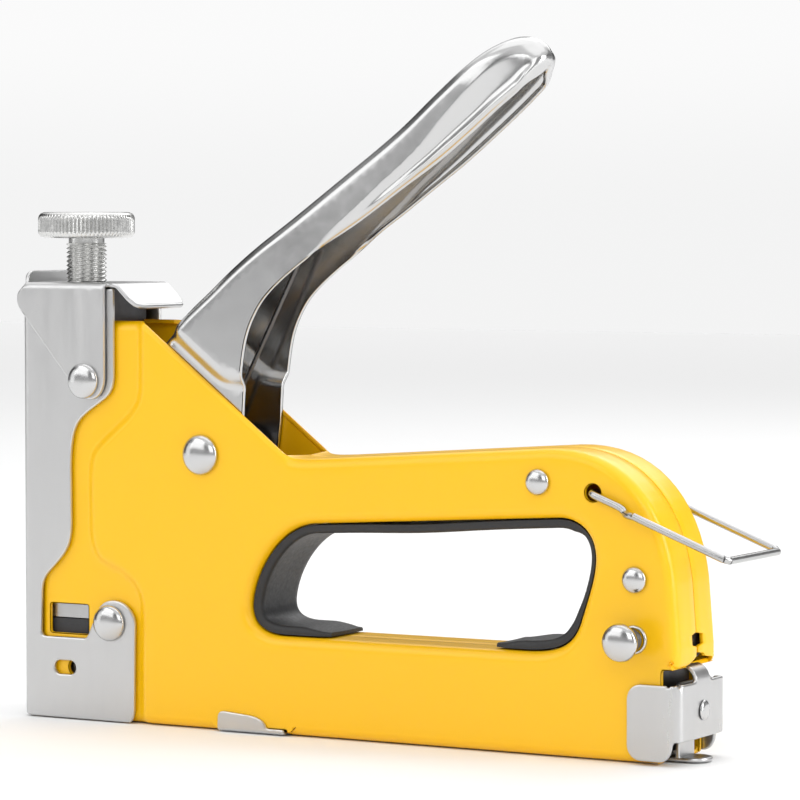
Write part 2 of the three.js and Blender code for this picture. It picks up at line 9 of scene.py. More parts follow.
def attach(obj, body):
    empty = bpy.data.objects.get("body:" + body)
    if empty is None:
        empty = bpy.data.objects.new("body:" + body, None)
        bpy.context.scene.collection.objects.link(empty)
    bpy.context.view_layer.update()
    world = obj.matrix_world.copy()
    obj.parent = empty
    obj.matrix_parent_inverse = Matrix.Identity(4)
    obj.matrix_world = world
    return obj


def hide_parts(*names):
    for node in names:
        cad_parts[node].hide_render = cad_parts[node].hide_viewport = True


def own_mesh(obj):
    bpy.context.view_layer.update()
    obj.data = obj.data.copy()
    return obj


# Hand staple gun. Shapes are worked out in millimetres in the frame of the model and scaled on creation.
# +X is the rear, +Z is up, the button side is -Y.
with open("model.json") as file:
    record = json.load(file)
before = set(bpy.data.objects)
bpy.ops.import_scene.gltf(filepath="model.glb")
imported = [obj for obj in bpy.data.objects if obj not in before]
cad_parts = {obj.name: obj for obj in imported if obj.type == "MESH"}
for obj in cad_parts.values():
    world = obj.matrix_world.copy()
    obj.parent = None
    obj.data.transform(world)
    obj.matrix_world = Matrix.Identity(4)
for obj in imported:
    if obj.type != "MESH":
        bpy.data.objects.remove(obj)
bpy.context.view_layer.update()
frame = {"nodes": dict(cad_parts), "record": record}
MM = 0.001

# Driving sizes. Places are (x, z), and a half width is measured from the middle plane.
SHELL_HALF = 11.5
SHELL_SHEET = 1.1
SHELL_ROUND = 2.6
RECESS_HALF = 10.1
SEAM_HALF = 0.15
PIVOT = (53.3, 70.7)
SCREW_X = 10.3
THREAD_PITCH = 1.1
BUTTON = (176.8, 29.9)
BAIL_PIVOT = (165.6, 65.0)
BAIL_WIRE = 0.93
FEED_Z = 8

# Angles in degrees above which an edge is shaded sharp.
SHEET_EDGE = 20
SHELL_EDGE = 35
PLAIN_EDGE = 38
DOME_EDGE = 45
ROUND_EDGE = 50
KNURL_EDGE = 60

# ---------------------------------------------------------------- camera
SENSOR_WIDTH = 36.0
LENS = 168.75
CAMERA_PLACE = (0.570997, -0.822774, 0.132214)
AZIMUTH = math.radians(29.5)
ELEVATION = math.radians(2.8243)

camera_data = bpy.data.cameras.new("camera")
camera_data.sensor_width = SENSOR_WIDTH
camera_data.lens = LENS
camera = bpy.data.objects.new("camera", camera_data)
bpy.context.scene.collection.objects.link(camera)
camera.location = CAMERA_PLACE
level = math.cos(ELEVATION)
towards = Vector((-math.sin(AZIMUTH) * level, math.cos(AZIMUTH) * level, -math.sin(ELEVATION)))
camera.rotation_euler = towards.to_track_quat("-Z", "Y").to_euler()
bpy.context.scene.camera = camera


# ---------------------------------------------------------------- outlines
def bezier(p0, p1, p2, p3, count=16):
    t = np.linspace(0, 1, count + 1)[1:, None]
    p0, p1, p2, p3 = (np.array(p, float) for p in (p0, p1, p2, p3))
    return (1 - t) ** 3 * p0 + 3 * t * (1 - t) ** 2 * p1 + 3 * t * t * (1 - t) * p2 + t ** 3 * p3


def draw(start, *moves):
    """A polyline from lines (x, z), curves (x1, z1, x2, z2, x, z)."""
    points = [np.array(start, float)]
    for move in moves:
        if len(move) == 2:
            points.append(np.array(move, float))
        else:
            points.extend(bezier(points[-1], move[0:2], move[2:4], move[4:6]))
    return np.array(points)


def rounded(corners, steps=6):
    """A closed outline from (x, z, radius) corners."""
    out = []
    n = len(corners)
    for i in range(n):
        a, b, c = (np.array(corners[(i + k) % n][:2], float) for k in (-1, 0, 1))
        r = corners[i][2]
        if r <= 0:
            out.append(b)
            continue
        u, v = (a - b) / np.linalg.norm(a - b), (c - b) / np.linalg.norm(c - b)
        half = math.acos(np.clip(u @ v, -1, 1)) / 2
        reach = min(r / math.tan(half), 0.49 * np.linalg.norm(a - b), 0.49 * np.linalg.norm(c - b))
        r = reach * math.tan(half)
        centre = b + (u + v) / np.linalg.norm(u + v) * r / math.sin(half)
        s, e = b + u * reach - centre, b + v * reach - centre
        for k in range(steps + 1):
            m = s * (1 - k / steps) + e * k / steps
            out.append(centre + m / np.linalg.norm(m) * r)
    return np.array(out)


def circle(x, z, radius, count=32):
    a = np.linspace(0, 2 * math.pi, count, endpoint=False)
    return np.column_stack((x + radius * np.cos(a), z + radius * np.sin(a)))


def smooth_line(points, step=1.0):
    """A Catmull-Rom curve through points."""
    p = np.array(points, float)
    p = np.vstack((2 * p[0] - p[1], p, 2 * p[-1] - p[-2]))
    out = [p[1]]
    for i in range(1, len(p) - 2):
        a, b, c, d = p[i - 1], p[i], p[i + 1], p[i + 2]
        n = max(2, int(np.linalg.norm(c - b) / step))
        for k in range(1, n + 1):
            t = k / n
            out.append(0.5 * (2 * b + (c - a) * t + (2 * a - 5 * b + 4 * c - d) * t * t
                              + (3 * b - a - 3 * c + d) * t ** 3))
    return np.array(out)


def dense(points, step, closed=True):
    out = []
    n = len(points)
    for i in range(n if closed else n - 1):
        a, b = points[i], points[(i + 1) % n]
        m = max(1, int(math.ceil(np.linalg.norm(b - a) / step)))
        out.extend(a + (b - a) * k / m for k in range(m))
    if not closed:
        out.append(points[-1])
    out = np.array(out)
    keep = np.linalg.norm(out - np.roll(out, 1, 0), axis=1) > 1e-3
    return out[keep]


def signed_area(p):
    q = np.roll(p, -1, 0)
    return 0.5 * np.sum(p[:, 0] * q[:, 1] - q[:, 0] * p[:, 1])


def turned_left(p, outer=True):
    """The loop in the direction that keeps the material on its left."""
    return p if (signed_area(p) > 0) == outer else p[::-1]


def left_normals(p):
    d = np.roll(p, -1, 0) - p
    d /= np.linalg.norm(d, axis=1)[:, None]
    n = np.column_stack((-d[:, 1], d[:, 0]))
    m = n + np.roll(n, 1, 0)
    m /= np.maximum(np.linalg.norm(m, axis=1)[:, None], 1e-6)
    return m / np.maximum(0.75, np.sum(m * n, axis=1))[:, None]


def inside(points, poly):
    x, z = points[:, 0][:, None], points[:, 1][:, None]
    a, b = poly, np.roll(poly, -1, 0)
    dz = np.where(b[:, 1] == a[:, 1], 1e-9, b[:, 1] - a[:, 1])
    crosses = (a[:, 1] > z) != (b[:, 1] > z)
    at = a[:, 0] + (z - a[:, 1]) * (b[:, 0] - a[:, 0]) / dz
    return np.sum(crosses & (x < at), axis=1) % 2 == 1


def distance(points, line):
    """Distance from each point to an open polyline."""
    best = np.full(len(points), 1e9)
    for a, b in zip(line[:-1], line[1:]):
        d = b - a
        t = np.clip((points - a) @ d / max(d @ d, 1e-12), 0, 1)
        best = np.minimum(best, np.linalg.norm(points - a - t[:, None] * d, axis=1))
    return best


def sideways(line):
    """The direction across an open line, at each of its points."""
    along = np.gradient(line, axis=0)
    along /= np.linalg.norm(along, axis=1)[:, None]
    return np.column_stack((along[:, 1], -along[:, 0]))


def softened(values, times=1):
    """Values round a closed loop, each mixed with its neighbours."""
    kernel = np.array([0.25, 0.5, 0.25])
    for _ in range(times):
        values = np.convolve(np.r_[values[-1], values, values[0]], kernel, "valid")
    return values


def smoothstep(x, a, b):
    t = np.clip((np.asarray(x, float) - a) / (b - a), 0, 1)
    return t * t * (3 - 2 * t)


def fill(loops, spacing, extra=None):
    """Triangles over loops (outer first, then holes). The loops' points come first."""
    edge = np.vstack(loops)
    low, high = edge.min(0), edge.max(0)
    xs = np.arange(low[0] + spacing / 2, high[0], spacing)
    zs = np.arange(low[1] + spacing / 2, high[1], spacing * 0.87)
    grid = np.array([(x + (k % 2) * spacing / 2, z) for k, z in enumerate(zs) for x in xs])
    if extra is not None and len(extra):
        grid = np.vstack((grid[distance_to_set(grid, extra) > spacing * 0.55], extra))
    if len(grid):
        keep = inside(grid, loops[0])
        for hole in loops[1:]:
            keep &= ~inside(grid, hole)
        grid = grid[keep]
        grid = grid[distance_to_set(grid, edge) > 0.45 * min(spacing, 0.9)]
    points = np.vstack((edge, grid)) if len(grid) else edge
    edges = []
    first = 0
    for loop in loops:
        edges += [(first + i, first + (i + 1) % len(loop)) for i in range(len(loop))]
        first += len(loop)
    made = delaunay_2d_cdt([Vector(p) for p in points], edges, [], 0, 1e-5)
    out = np.array([tuple(v) for v in made[0]])
    crossings = [k for k, o in enumerate(made[3]) if not o]
    new = {k: len(points) + i for i, k in enumerate(crossings)}
    back = np.array([o[0] if o else new[k] for k, o in enumerate(made[3])])
    if crossings:
        points = np.vstack((points, out[crossings]))
    faces = np.array([f for f in made[2] if len(f) == 3])
    centre = out[faces].mean(1)
    good = inside(centre, loops[0])
    for hole in loops[1:]:
        good &= ~inside(centre, hole)
    faces = back[faces[good]]
    a, b, c = points[faces[:, 0]], points[faces[:, 1]], points[faces[:, 2]]
    turn = (b[:, 0] - a[:, 0]) * (c[:, 1] - a[:, 1]) - (b[:, 1] - a[:, 1]) * (c[:, 0] - a[:, 0])
    faces = faces[np.abs(turn) > 1e-7]
    turn = turn[np.abs(turn) > 1e-7]
    faces[turn < 0] = faces[turn < 0][:, ::-1]
    return points, faces


def distance_to_set(points, others):
    out = np.empty(len(points))
    for i in range(0, len(points), 2000):
        d = points[i:i + 2000, None, :] - others[None, :, :]
        out[i:i + 2000] = np.sqrt((d * d).sum(2).min(1))
    return out


# ---------------------------------------------------------------- surfaces
def vertex_normals(verts, faces):
    normals = np.zeros_like(verts)
    for f in faces:
        p = verts[list(f)]
        n = np.cross(p[1] - p[0], p[2] - p[0])
        if len(f) == 4:
            n = n + np.cross(p[2] - p[0], p[3] - p[0])
        for i in f:
            normals[i] += n
    return normals / np.maximum(np.linalg.norm(normals, axis=1)[:, None], 1e-12)


def weld(verts, faces, reach=0.004):
    """Joins points closer than reach and drops faces that vanish."""
    key = {}
    index = np.empty(len(verts), int)
    kept = []
    for i, v in enumerate(np.round(verts / reach).astype(int)):
        k = tuple(v)
        if k not in key:
            key[k] = len(kept)
            kept.append(verts[i])
        index[i] = key[k]
    out = []
    for f in faces:
        g = []
        for i in f:
            j = index[i]
            if j not in g:
                g.append(int(j))
        if len(g) > 2:
            out.append(tuple(g))
    return np.array(kept), out


def thicken(verts, faces, sheet, edge):
    """Gives an open surface its sheet thickness, inwards, with rounded rims."""
    faces = [tuple(int(i) for i in f) for f in faces]
    normals = vertex_normals(verts, faces)
    seen = {(f[i], f[(i + 1) % len(f)]) for f in faces for i in range(len(f))}
    border = [(a, b) for a, b in seen if (b, a) not in seen]
    border.sort()
    out_dir = {}
    for a, b in border:
        d = verts[b] - verts[a]
        d = d / max(np.linalg.norm(d), 1e-9)
        for i in (a, b):
            out_dir[i] = out_dir.get(i, 0) + np.cross(d, normals[i])
    rim = sorted(out_dir)
    place = {i: k for k, i in enumerate(rim)}
    n = len(verts)
    outer = verts.copy()
    inner = verts - normals * sheet
    rings = [[], [], [], []]
    for i in rim:
        o = out_dir[i] / max(np.linalg.norm(out_dir[i]), 1e-9)
        a, m = verts[i], normals[i]
        outer[i] = a - o * edge
        inner[i] = a - o * edge - m * sheet
        rings[0].append(a - (o + m) * edge * 0.29)
        rings[1].append(a - m * edge)
        rings[2].append(a - m * (sheet - edge))
        rings[3].append(a - o * edge * 0.29 - m * (sheet - 0.29 * edge))
    count = len(rim)
    points = np.vstack([outer, inner] + [np.array(r).reshape(-1, 3) for r in rings])
    made = list(faces) + [tuple(i + n for i in reversed(f)) for f in faces]
    for a, b in border:
        chain_a = [a] + [2 * n + k * count + place[a] for k in range(4)] + [a + n]
        chain_b = [b] + [2 * n + k * count + place[b] for k in range(4)] + [b + n]
        for k in range(5):
            made.append((chain_b[k], chain_a[k], chain_a[k + 1], chain_b[k + 1]))
    return points, made


def reach_inwards(points, normals, most):
    """How far each loop point can move in before it meets the material of another edge."""
    fine = dense(points, 0.25)
    reach = np.full(len(points), most)
    open_to = np.ones(len(points), bool)
    for t in np.linspace(0.1, most, 24):
        free = distance_to_set(points + normals * t, fine) > 0.94 * t - 0.03
        stop = open_to & ~free
        reach[stop] = t - most / 24
        open_to &= free
    return np.maximum(reach, 0)


def pressed(loops, height, spacing, extra=None, arc_steps=6, wall_steps=3, crown=0.0):
    """One half of a pressed shape. A loop is (points, radius, wall end, curl), one value of each a point.
    curl is 1 where the sheet rolls over the edge and 0 where it is cut plain. height gives the half width."""
    verts, faces, inner_loops, inner_ids = [], [], [], []
    for points, radius, wall_end, curl in loops:
        normals = left_normals(points)
        total = wall_steps + arc_steps
        rows = []
        limit = reach_inwards(points, normals, float(max(radius.max(), 0.8) + crown))
        top = height(points)
        end = np.minimum(wall_end, top - radius - 0.02)
        for j in range(total + 1):
            flat_at = points + normals * np.minimum(j / total * 0.5, limit)[:, None]
            flat_y = height(flat_at)
            if j <= wall_steps:
                share = j / wall_steps
                inset = np.minimum(crown * share ** 2 * np.minimum(1, (top - radius - end) / 4), limit)
                at = points + normals * inset[:, None]
                y = end + (top - radius - end) * share
            else:
                angle = (j - wall_steps) / arc_steps * math.pi / 2
                inset = radius * (1 - math.cos(angle)) + crown * np.minimum(1, (top - radius - end) / 4)
                inset = np.minimum(inset, limit)
                at = points + normals * inset[:, None]
                y = height(at) - radius + radius * math.sin(angle)
            at = at * curl[:, None] + flat_at * (1 - curl[:, None])
            y = y * curl + flat_y * (1 - curl)
            rows.append((at, y))
        base = len(verts)
        count = len(points)
        for at, y in rows:
            verts.extend(np.column_stack((at[:, 0], -y, at[:, 1])))
        for j in range(total):
            for i in range(count):
                k = (i + 1) % count
                faces.append((base + j * count + i, base + j * count + k,
                              base + (j + 1) * count + k, base + (j + 1) * count + i))
        inner_loops.append(rows[-1][0])
        inner_ids += [base + total * count + i for i in range(count)]
    flat, tris = fill(inner_loops, spacing, extra)
    y = height(flat)
    ids = inner_ids + [len(verts) + i for i in range(len(flat) - len(inner_ids))]
    verts.extend(np.column_stack((flat[:, 0], -y, flat[:, 1]))[len(inner_ids):])
    faces += [tuple(ids[i] for i in t) for t in tris]
    return np.array(verts), faces


def turned_over(verts, faces):
    """The same points with every face looking the other way."""
    return verts, [tuple(reversed(f)) for f in faces]


def mirrored(verts, faces):
    return turned_over(verts * np.array([1, -1, 1]), faces)


def merged(*parts):
    verts, faces, n = [], [], 0
    for v, f in parts:
        verts.append(np.asarray(v, float))
        faces += [tuple(i + n for i in g) for g in f]
        n += len(v)
    return np.vstack(verts), faces


def lathe(profile, segments=72, axis="Z", at=(0, 0, 0), wave=None):
    """Turned surface from (radius, along) pairs. wave(radius, along, angle) may change the radius."""
    along = np.array(profile, float)
    angles = np.linspace(0, 2 * math.pi, segments, endpoint=False)
    verts, faces = [], []
    for r, h in along:
        rr = np.full(segments, r) if wave is None else wave(r, h, angles)
        a, b, c = rr * np.cos(angles), rr * np.sin(angles), np.full(segments, h)
        verts.append(np.column_stack({"Z": (a, b, c), "Y": (b, c, a), "X": (c, a, b)}[axis]))
    for j in range(len(along) - 1):
        for i in range(segments):
            k = (i + 1) % segments
            faces.append((j * segments + i, j * segments + k, (j + 1) * segments + k,
                          (j + 1) * segments + i))
    return weld(np.vstack(verts) + np.array(at), faces, 0.002)


def tube(path, radius, sides):
    """A round wire along points, closed at both ends."""
    p = np.array(path, float)
    d = np.gradient(p, axis=0)
    d /= np.linalg.norm(d, axis=1)[:, None]
    up = np.cross(d[0], (0.31, 0.17, 0.93))
    up /= np.linalg.norm(up)
    verts, faces = [], []
    angles = np.linspace(0, 2 * math.pi, sides, endpoint=False)
    for i in range(len(p)):
        up = up - d[i] * (up @ d[i])
        up /= np.linalg.norm(up)
        side = np.cross(d[i], up)
        verts.append(p[i] + radius * (np.outer(np.cos(angles), up) + np.outer(np.sin(angles), side)))
    for j in range(len(p) - 1):
        for i in range(sides):
            k = (i + 1) % sides
            faces.append((j * sides + i, j * sides + k, (j + 1) * sides + k, (j + 1) * sides + i))
    last = (len(p) - 1) * sides
    faces.append(tuple(reversed(range(sides))))
    faces.append(tuple(range(last, last + sides)))
    return np.vstack(verts), faces


def folded(loops, fold, spacing, sheet, edge, extra=None, over=False):
    """A folded sheet from its flat outline. fold gives the outer face for flat points. over is for a fold
    that turns the outline over, so that the outer face stays the one away from the hollow."""
    flat, tris = fill(loops, spacing, extra)
    faces = [tuple(reversed(t)) if over else tuple(t) for t in tris]
    return thicken(fold(flat), faces, sheet, edge)


def bend_end(width, bend):
    """How far from the middle line of the flat sheet a bend to half width ends."""
    return width - bend + bend * math.pi / 2


def bent(u, width, bend):
    """The angle turned and the half width reached at u from the middle line of the flat sheet."""
    angle = np.clip((u - (width - bend)) / bend, 0, math.pi / 2)
    return angle, np.minimum(u, width - bend) + bend * np.sin(angle)


def band(x0, x1, z0, z1, dx, dz):
    """Extra points over a bend, so that it comes out round."""
    xs = np.arange(x0, x1 + 1e-6, dx)
    zs = np.arange(z0, z1 + 1e-6, dz)
    return np.array([(x, z) for x in xs for z in zs])


# ---------------------------------------------------------------- materials
def add(tree, kind, sockets=(), **fields):
    """A shader node with its fields and its sockets set."""
    made = tree.nodes.new("ShaderNode" + kind)
    for name, value in fields.items():
        setattr(made, name, value)
    for socket, value in dict(sockets).items():
        made.inputs[socket].default_value = value
    return made


def material(name, colour, metallic, roughness, spread, grain, bump, stretch=(1, 1, 1), coat=0.0, tint=0.06,
             sheen=0.0):
    """A finish: its shade varies by tint and its roughness by spread, over noise of scale grain."""
    made = bpy.data.materials.new(name)
    made.use_nodes = True
    tree = made.node_tree
    link = tree.links.new
    shader = tree.nodes["Principled BSDF"].inputs
    shader["Metallic"].default_value = metallic
    if coat:
        shader["Coat Weight"].default_value = coat
        shader["Coat Roughness"].default_value = 0.06
    if sheen:
        shader["Sheen Weight"].default_value = sheen
        shader["Sheen Roughness"].default_value = 0.5
    where = add(tree, "TexCoord").outputs["Object"]
    mapping = add(tree, "Mapping", {"Scale": stretch})
    link(where, mapping.inputs["Vector"])
    cloudy = add(tree, "TexNoise", {"Scale": 45.0, "Detail": 4.0})
    link(where, cloudy.inputs["Vector"])
    darker = (*(c * (1 - tint) for c in colour), 1)
    lighter = (*(min(1, c * (1 + tint)) for c in colour), 1)
    shade = add(tree, "Mix", {"A": darker, "B": lighter}, data_type="RGBA")
    link(cloudy.outputs["Fac"], shade.inputs["Factor"])
    link(shade.outputs["Result"], shader["Base Color"])
    fine = add(tree, "TexNoise", {"Scale": grain, "Detail": 5.0, "Roughness": 0.62})
    link(mapping.outputs["Vector"], fine.inputs["Vector"])
    rough = add(tree, "MapRange", {"From Min": 0.3, "From Max": 0.7,
                                   "To Min": roughness - spread, "To Max": roughness + spread})
    link(fine.outputs["Fac"], rough.inputs["Value"])
    link(rough.outputs["Result"], shader["Roughness"])
    relief = add(tree, "TexNoise", {"Scale": grain, "Detail": 3.0})
    link(mapping.outputs["Vector"], relief.inputs["Vector"])
    raised = add(tree, "Bump", {"Strength": bump, "Distance": 0.0002})
    link(relief.outputs["Fac"], raised.inputs["Height"])
    link(raised.outputs["Normal"], shader["Normal"])
    return made


MATERIALS = {
    "shell_paint": material("enamel_yellow", (1.0, 0.555, 0.0), 0.0, 0.34, 0.04, 160, 0.03, coat=0.12,
                            tint=0.015),
    "nose_nickel": material("satin_nickel", (0.6, 0.6, 0.6), 1.0, 0.34, 0.06, 420, 0.04, (1, 1, 0.12),
                            tint=0.03),
    "dark_steel": material("oiled_steel", (0.10, 0.10, 0.105), 1.0, 0.42, 0.1, 300, 0.1, tint=0.15),
    "rivet_nickel": material("bright_nickel", (0.6, 0.6, 0.6), 1.0, 0.2, 0.05, 500, 0.03, tint=0.04),
    "screw_zinc": material("bright_zinc", (0.66, 0.66, 0.65), 1.0, 0.24, 0.08, 500, 0.05, tint=0.06),
    "spring_steel": material("spring_wire", (0.14, 0.14, 0.145), 1.0, 0.32, 0.08, 700, 0.05, tint=0.1),
    "blade_steel": material("ground_steel", (0.5, 0.5, 0.5), 1.0, 0.34, 0.08, 600, 0.08, (1, 1, 0.1),
                            tint=0.06),
    "bumper_rubber": material("buffer_rubber", (0.035, 0.036, 0.04), 0.0, 0.62, 0.1, 900, 0.2, tint=0.15),
    "lever_chrome": material("plated_steel", (0.6, 0.6, 0.6), 1.0, 0.2, 0.03, 260, 0.012, tint=0.03),
    "grip_rubber": material("lining_rubber", (0.02, 0.0205, 0.0225), 0.0, 0.5, 0.1, 1100, 0.25, tint=0.12,
                            sheen=0.05),
    "magazine_zinc": material("zinc_sheet", (0.5, 0.5, 0.5), 1.0, 0.36, 0.08, 350, 0.08, (0.1, 1, 1),
                              tint=0.08),
    "latch_nickel": material("satin_plate", (0.6, 0.6, 0.6), 1.0, 0.33, 0.06, 420, 0.04, (1, 1, 0.15),
                             tint=0.03),
    "staple_steel": material("staple_wire", (0.6, 0.6, 0.58), 1.0, 0.32, 0.08, 800, 0.25, (4, 0.1, 0.1),
                             tint=0.06),
    "wire_chrome": material("bright_wire", (0.5, 0.5, 0.5), 1.0, 0.2, 0.04, 500, 0.03, tint=0.04),
}

BODY_OF = {n: b for b, names in frame["record"]["behaviour"]["bodies"].items() for n in names}
SLOT_OF = {p["node"]: p["material_slot"] for p in frame["record"]["subparts"]}

for node, made in frame["nodes"].items():
    if node in SLOT_OF:
        made.data.materials.clear()
        made.data.materials.append(MATERIALS[SLOT_OF[node]])


def place(name, shape, node, smooth=PLAIN_EDGE, slot=None):
    """A piece from millimetres. It stands for node, rides on its body and takes its finish, or slot's."""
    slot = slot or SLOT_OF[node]
    verts, faces = shape
    mesh = bpy.data.meshes.new(name)
    points = [tuple(v) for v in np.asarray(verts) * MM]
    mesh.from_pydata(points, [], [tuple(int(i) for i in f) for f in faces])
    mesh.validate()
    mesh.polygons.foreach_set("use_smooth", [True] * len(mesh.polygons))
    mesh.set_sharp_from_angle(angle=math.radians(smooth))
    mesh.materials.append(MATERIALS[slot])
    piece = bpy.data.objects.new(name, mesh)
    bpy.context.scene.collection.objects.link(piece)
    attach(piece, BODY_OF[node])
    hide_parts(node)
    return piece


# ---------------------------------------------------------------- half shells
HAND = draw(
    (86, 54.2), (76, 53.6, 68, 42, 67.3, 33), (67, 27.5, 71, 25, 77, 25), (147, 25.2),
    (155, 25.4, 159.5, 27, 161.6, 33), (163.5, 39, 165.5, 44, 165.6, 48.5),
    (165.8, 55, 161, 58.8, 155, 58.4),
)


def constant(points, value):
    return np.full(len(points), float(value))


def shell_outline():
    corner = draw((182.6, 0), (183.6, 0, 184.2, 0.6, 184.2, 1.6))
    back = draw((184.2, 22.2), (184.2, 22.6, 184.5, 22.9, 184.9, 22.9), (186.4, 22.9),
                (187.5, 22.9, 188.3, 23.6, 188.3, 24.8),
                (188.3, 28), (187.0, 44),
                (184.5, 64, 172, 76.6, 152, 75.3), (88, 70.8), (84, 70.6, 80.6, 70.2, 78.0, 71.4),
                (35.2, 104.3),
                (33.6, 104.7), (1.6, 104.7), (1.6, 0), (58.3, 0), (58.3, 1.3), (79.1, 1.3), (79.1, 0))
    line = turned_left(dense(np.vstack((corner, back)), 0.3))
    keep = [i for i, (x, z) in enumerate(line) if i % 3 == 0 or (x > 184 and 22.5 < z < 36)]
    return line[keep]


NEAR_LIP = ([22.9, 23.3, 23.6, 24.3, 24.9, 25.4, 27.9, 28.2, 30.8, 31.1],
            [8.8, 7.6, 4.2, 2.9, 1.2, 0.3, 0.2, 2.5, 2.5, SEAM_HALF])
FAR_LIP = ([22.9, 24.6, 25.0, 25.9, 26.2, 27.9, 28.2, 30.8, 31.1],
           [8.8, 8.4, 4.6, 4.0, 0.8, 0.7, 3.6, 3.6, SEAM_HALF])


def shell_rules(p, near):
    x, z = p[:, 0], p[:, 1]
    radius = constant(p, SHELL_ROUND)
    wall = constant(p, SEAM_HALF)
    curl = constant(p, 1)
    bottom = z < 0.5
    wall[bottom] = 7.6
    front = (x < 1.7) & (z >= 0.5)
    wall[front] = 6.5
    top = (z > 104.5)
    wall[top] = 8.2
    slope = (x < 78.6) & (x > 34.6) & (z > 70.9)
    radius[slope] = 1.15
    wall[slope] = 10.1
    rear = (x > 187.3) & (z < 36)
    wall[rear] = np.interp(z[rear], *(NEAR_LIP if near else FAR_LIP))
    notch = (x > 58.2) & (x < 79.2) & (z > 0.05) & (z < 1.4)
    cut_back = (x > 183.2) & (z < 23.0)
    curl[notch | cut_back] = 0
    return radius, wall, curl


RECESS = smooth_line([(34.5, -6), (34.5, 14), (34.5, 29), (33, 35), (29, 38.7), (21.5, 42.3), (18.9, 47.6),
                      (18.5, 56),
                      (18.6, 66), (20.6, 71.6), (30.4, 80.2), (33.6, 85.2), (34, 92), (34, 112)], 0.8)
RECESS_AREA = np.vstack((RECESS, [(-6, 112), (-6, -6)]))


def shell_height(p):
    near = distance(p, RECESS)
    sign = np.where(inside(p, RECESS_AREA), -1, 1)
    step = smoothstep(near * sign, -1.3, 1.9)
    return RECESS_HALF + (SHELL_HALF - RECESS_HALF) * step


def make_shell(near):
    outer = shell_outline()
    radius, wall, curl = shell_rules(outer, near)
    radius = softened(radius)
    hand = turned_left(dense(HAND, 0.9), False)
    window = rounded([(5.3, 22.3, 0.7), (17.3, 22.3, 0.7), (17.3, 30.0, 0.5), (5.3, 30.0, 0.5)], 3)
    window = turned_left(dense(window, 0.8), False)
    eye = turned_left(circle(12.9, 13.4, 1.9, 28), False)
    bail_hole = turned_left(circle(*BAIL_PIVOT, 2.1, 28), False)
    loops = [(outer, radius, wall, curl),
             (hand, constant(hand, SHELL_ROUND), constant(hand, SEAM_HALF), constant(hand, 1))]
    for hole in (window, eye, bail_hole):
        loops.append((hole, constant(hole, 0.2), constant(hole, 9), constant(hole, 0)))
    offsets = (-1.4, -0.9, -0.4, 0.1, 0.6, 1.1, 1.6, 2.1)
    line = dense(RECESS, 0.7, False)
    extra = np.vstack([line + sideways(line) * o for o in offsets])
    thick = thicken(*pressed(loops, shell_height, 2.4, extra), SHELL_SHEET, 0.28)
    if near:
        place("shell_near", thick, "left_shell", SHELL_EDGE)
    else:
        place("shell_far", mirrored(*thick), "right_shell", SHELL_EDGE)


# ---------------------------------------------------------------- squeeze lever
RIDGE = [(41.5, 76), (38.6, 83), (36.8, 90), (37.2, 96.2), (40.2, 100.2), (44.0, 103.8), (48.1, 107.8),
         (54.9, 113.4),
         (61.8, 119.3), (69.3, 125.0), (79.7, 132.2), (94.4, 143), (108.9, 153.8), (120, 163.2),
         (130.5, 171.7),
         (136.4, 175.2), (141.0, 176.2), (145.0, 175.3), (147.6, 173.2), (148.5, 170.9)]
RIM = [(148.5, 170.9), (147.7, 168.8), (143.4, 163.6), (136.6, 157.9), (129.6, 152.2), (120.8, 145.4),
       (110.5, 138.4),
       (101.5, 132.2), (92, 126.0), (80.4, 118.0), (73.2, 111.8), (69.4, 106.4), (67.0, 100.4), (65.6, 92),
       (65.0, 84),
       (64.6, 77), (62.6, 66.6), (57.6, 61.4), (49.4, 62.2), (43.4, 69.6), (41.5, 76)]
CREASE = smooth_line([(70, 108.0), (80.2, 118.2), (92.4, 128.6), (98.3, 133.4), (106.5, 140.5),
                      (111.2, 144.3),
                      (117.2, 149.7), (122.2, 155.2), (127.8, 160.8), (134.9, 167.6), (139.2, 170.6),
                      (144.0, 171.6),
                      (147.6, 169.6), (149.0, 165.0)], 1.0)
LEVER_HALF = 12.3
LEVER_ROOT = 9.95
LEVER_RIM = smooth_line(RIM[1:12], 0.6)
CREASE_AREA = np.vstack((CREASE, [(170, 150), (120, 90), (70, 90)]))
ALONG_LEVER = (0.7, 0.714)
OFF_SLOPE = (0.614, 0.789)


def from_pivot(p, way):
    return way[0] * (p[:, 0] - PIVOT[0]) + way[1] * (p[:, 1] - PIVOT[1])


def lever_height(p):
    """Half width: it flares above the shells' slope, narrows to the tip and scoops below the crease."""
    along = from_pivot(p, ALONG_LEVER)
    half = LEVER_HALF - 2.4 * smoothstep(along, 48, 105)
    tip = np.clip((along - 118) / 21, 0, 0.985)
    half = half * np.sqrt(1 - tip * tip)
    n = from_pivot(p, OFF_SLOPE)
    s = from_pivot(p, (OFF_SLOPE[1], -OFF_SLOPE[0]))
    start = 16.8 + 0.75 * 1.5 * np.log1p(np.exp((s + 6) / 1.5))
    flare = smoothstep(n - start, 0, 5.0)
    half = LEVER_ROOT + (half - LEVER_ROOT) * flare
    below = distance(p, CREASE)
    side = np.where(inside(p, CREASE_AREA), 1, -1)
    drop = below * side
    fall = 0.5 * np.maximum(0, drop)
    depth = 3.2 * np.tanh(fall / 3.2)
    to_rim = distance(p, LEVER_RIM)
    bead = 1.5 * np.exp(-(np.maximum(0, to_rim - 1.0) / 1.5) ** 2) * smoothstep(drop, 1.0, 4.5)
    use = smoothstep(along, 60, 76) * np.clip(half / 9.9, 0, 1)
    return half - use * (depth - bead)


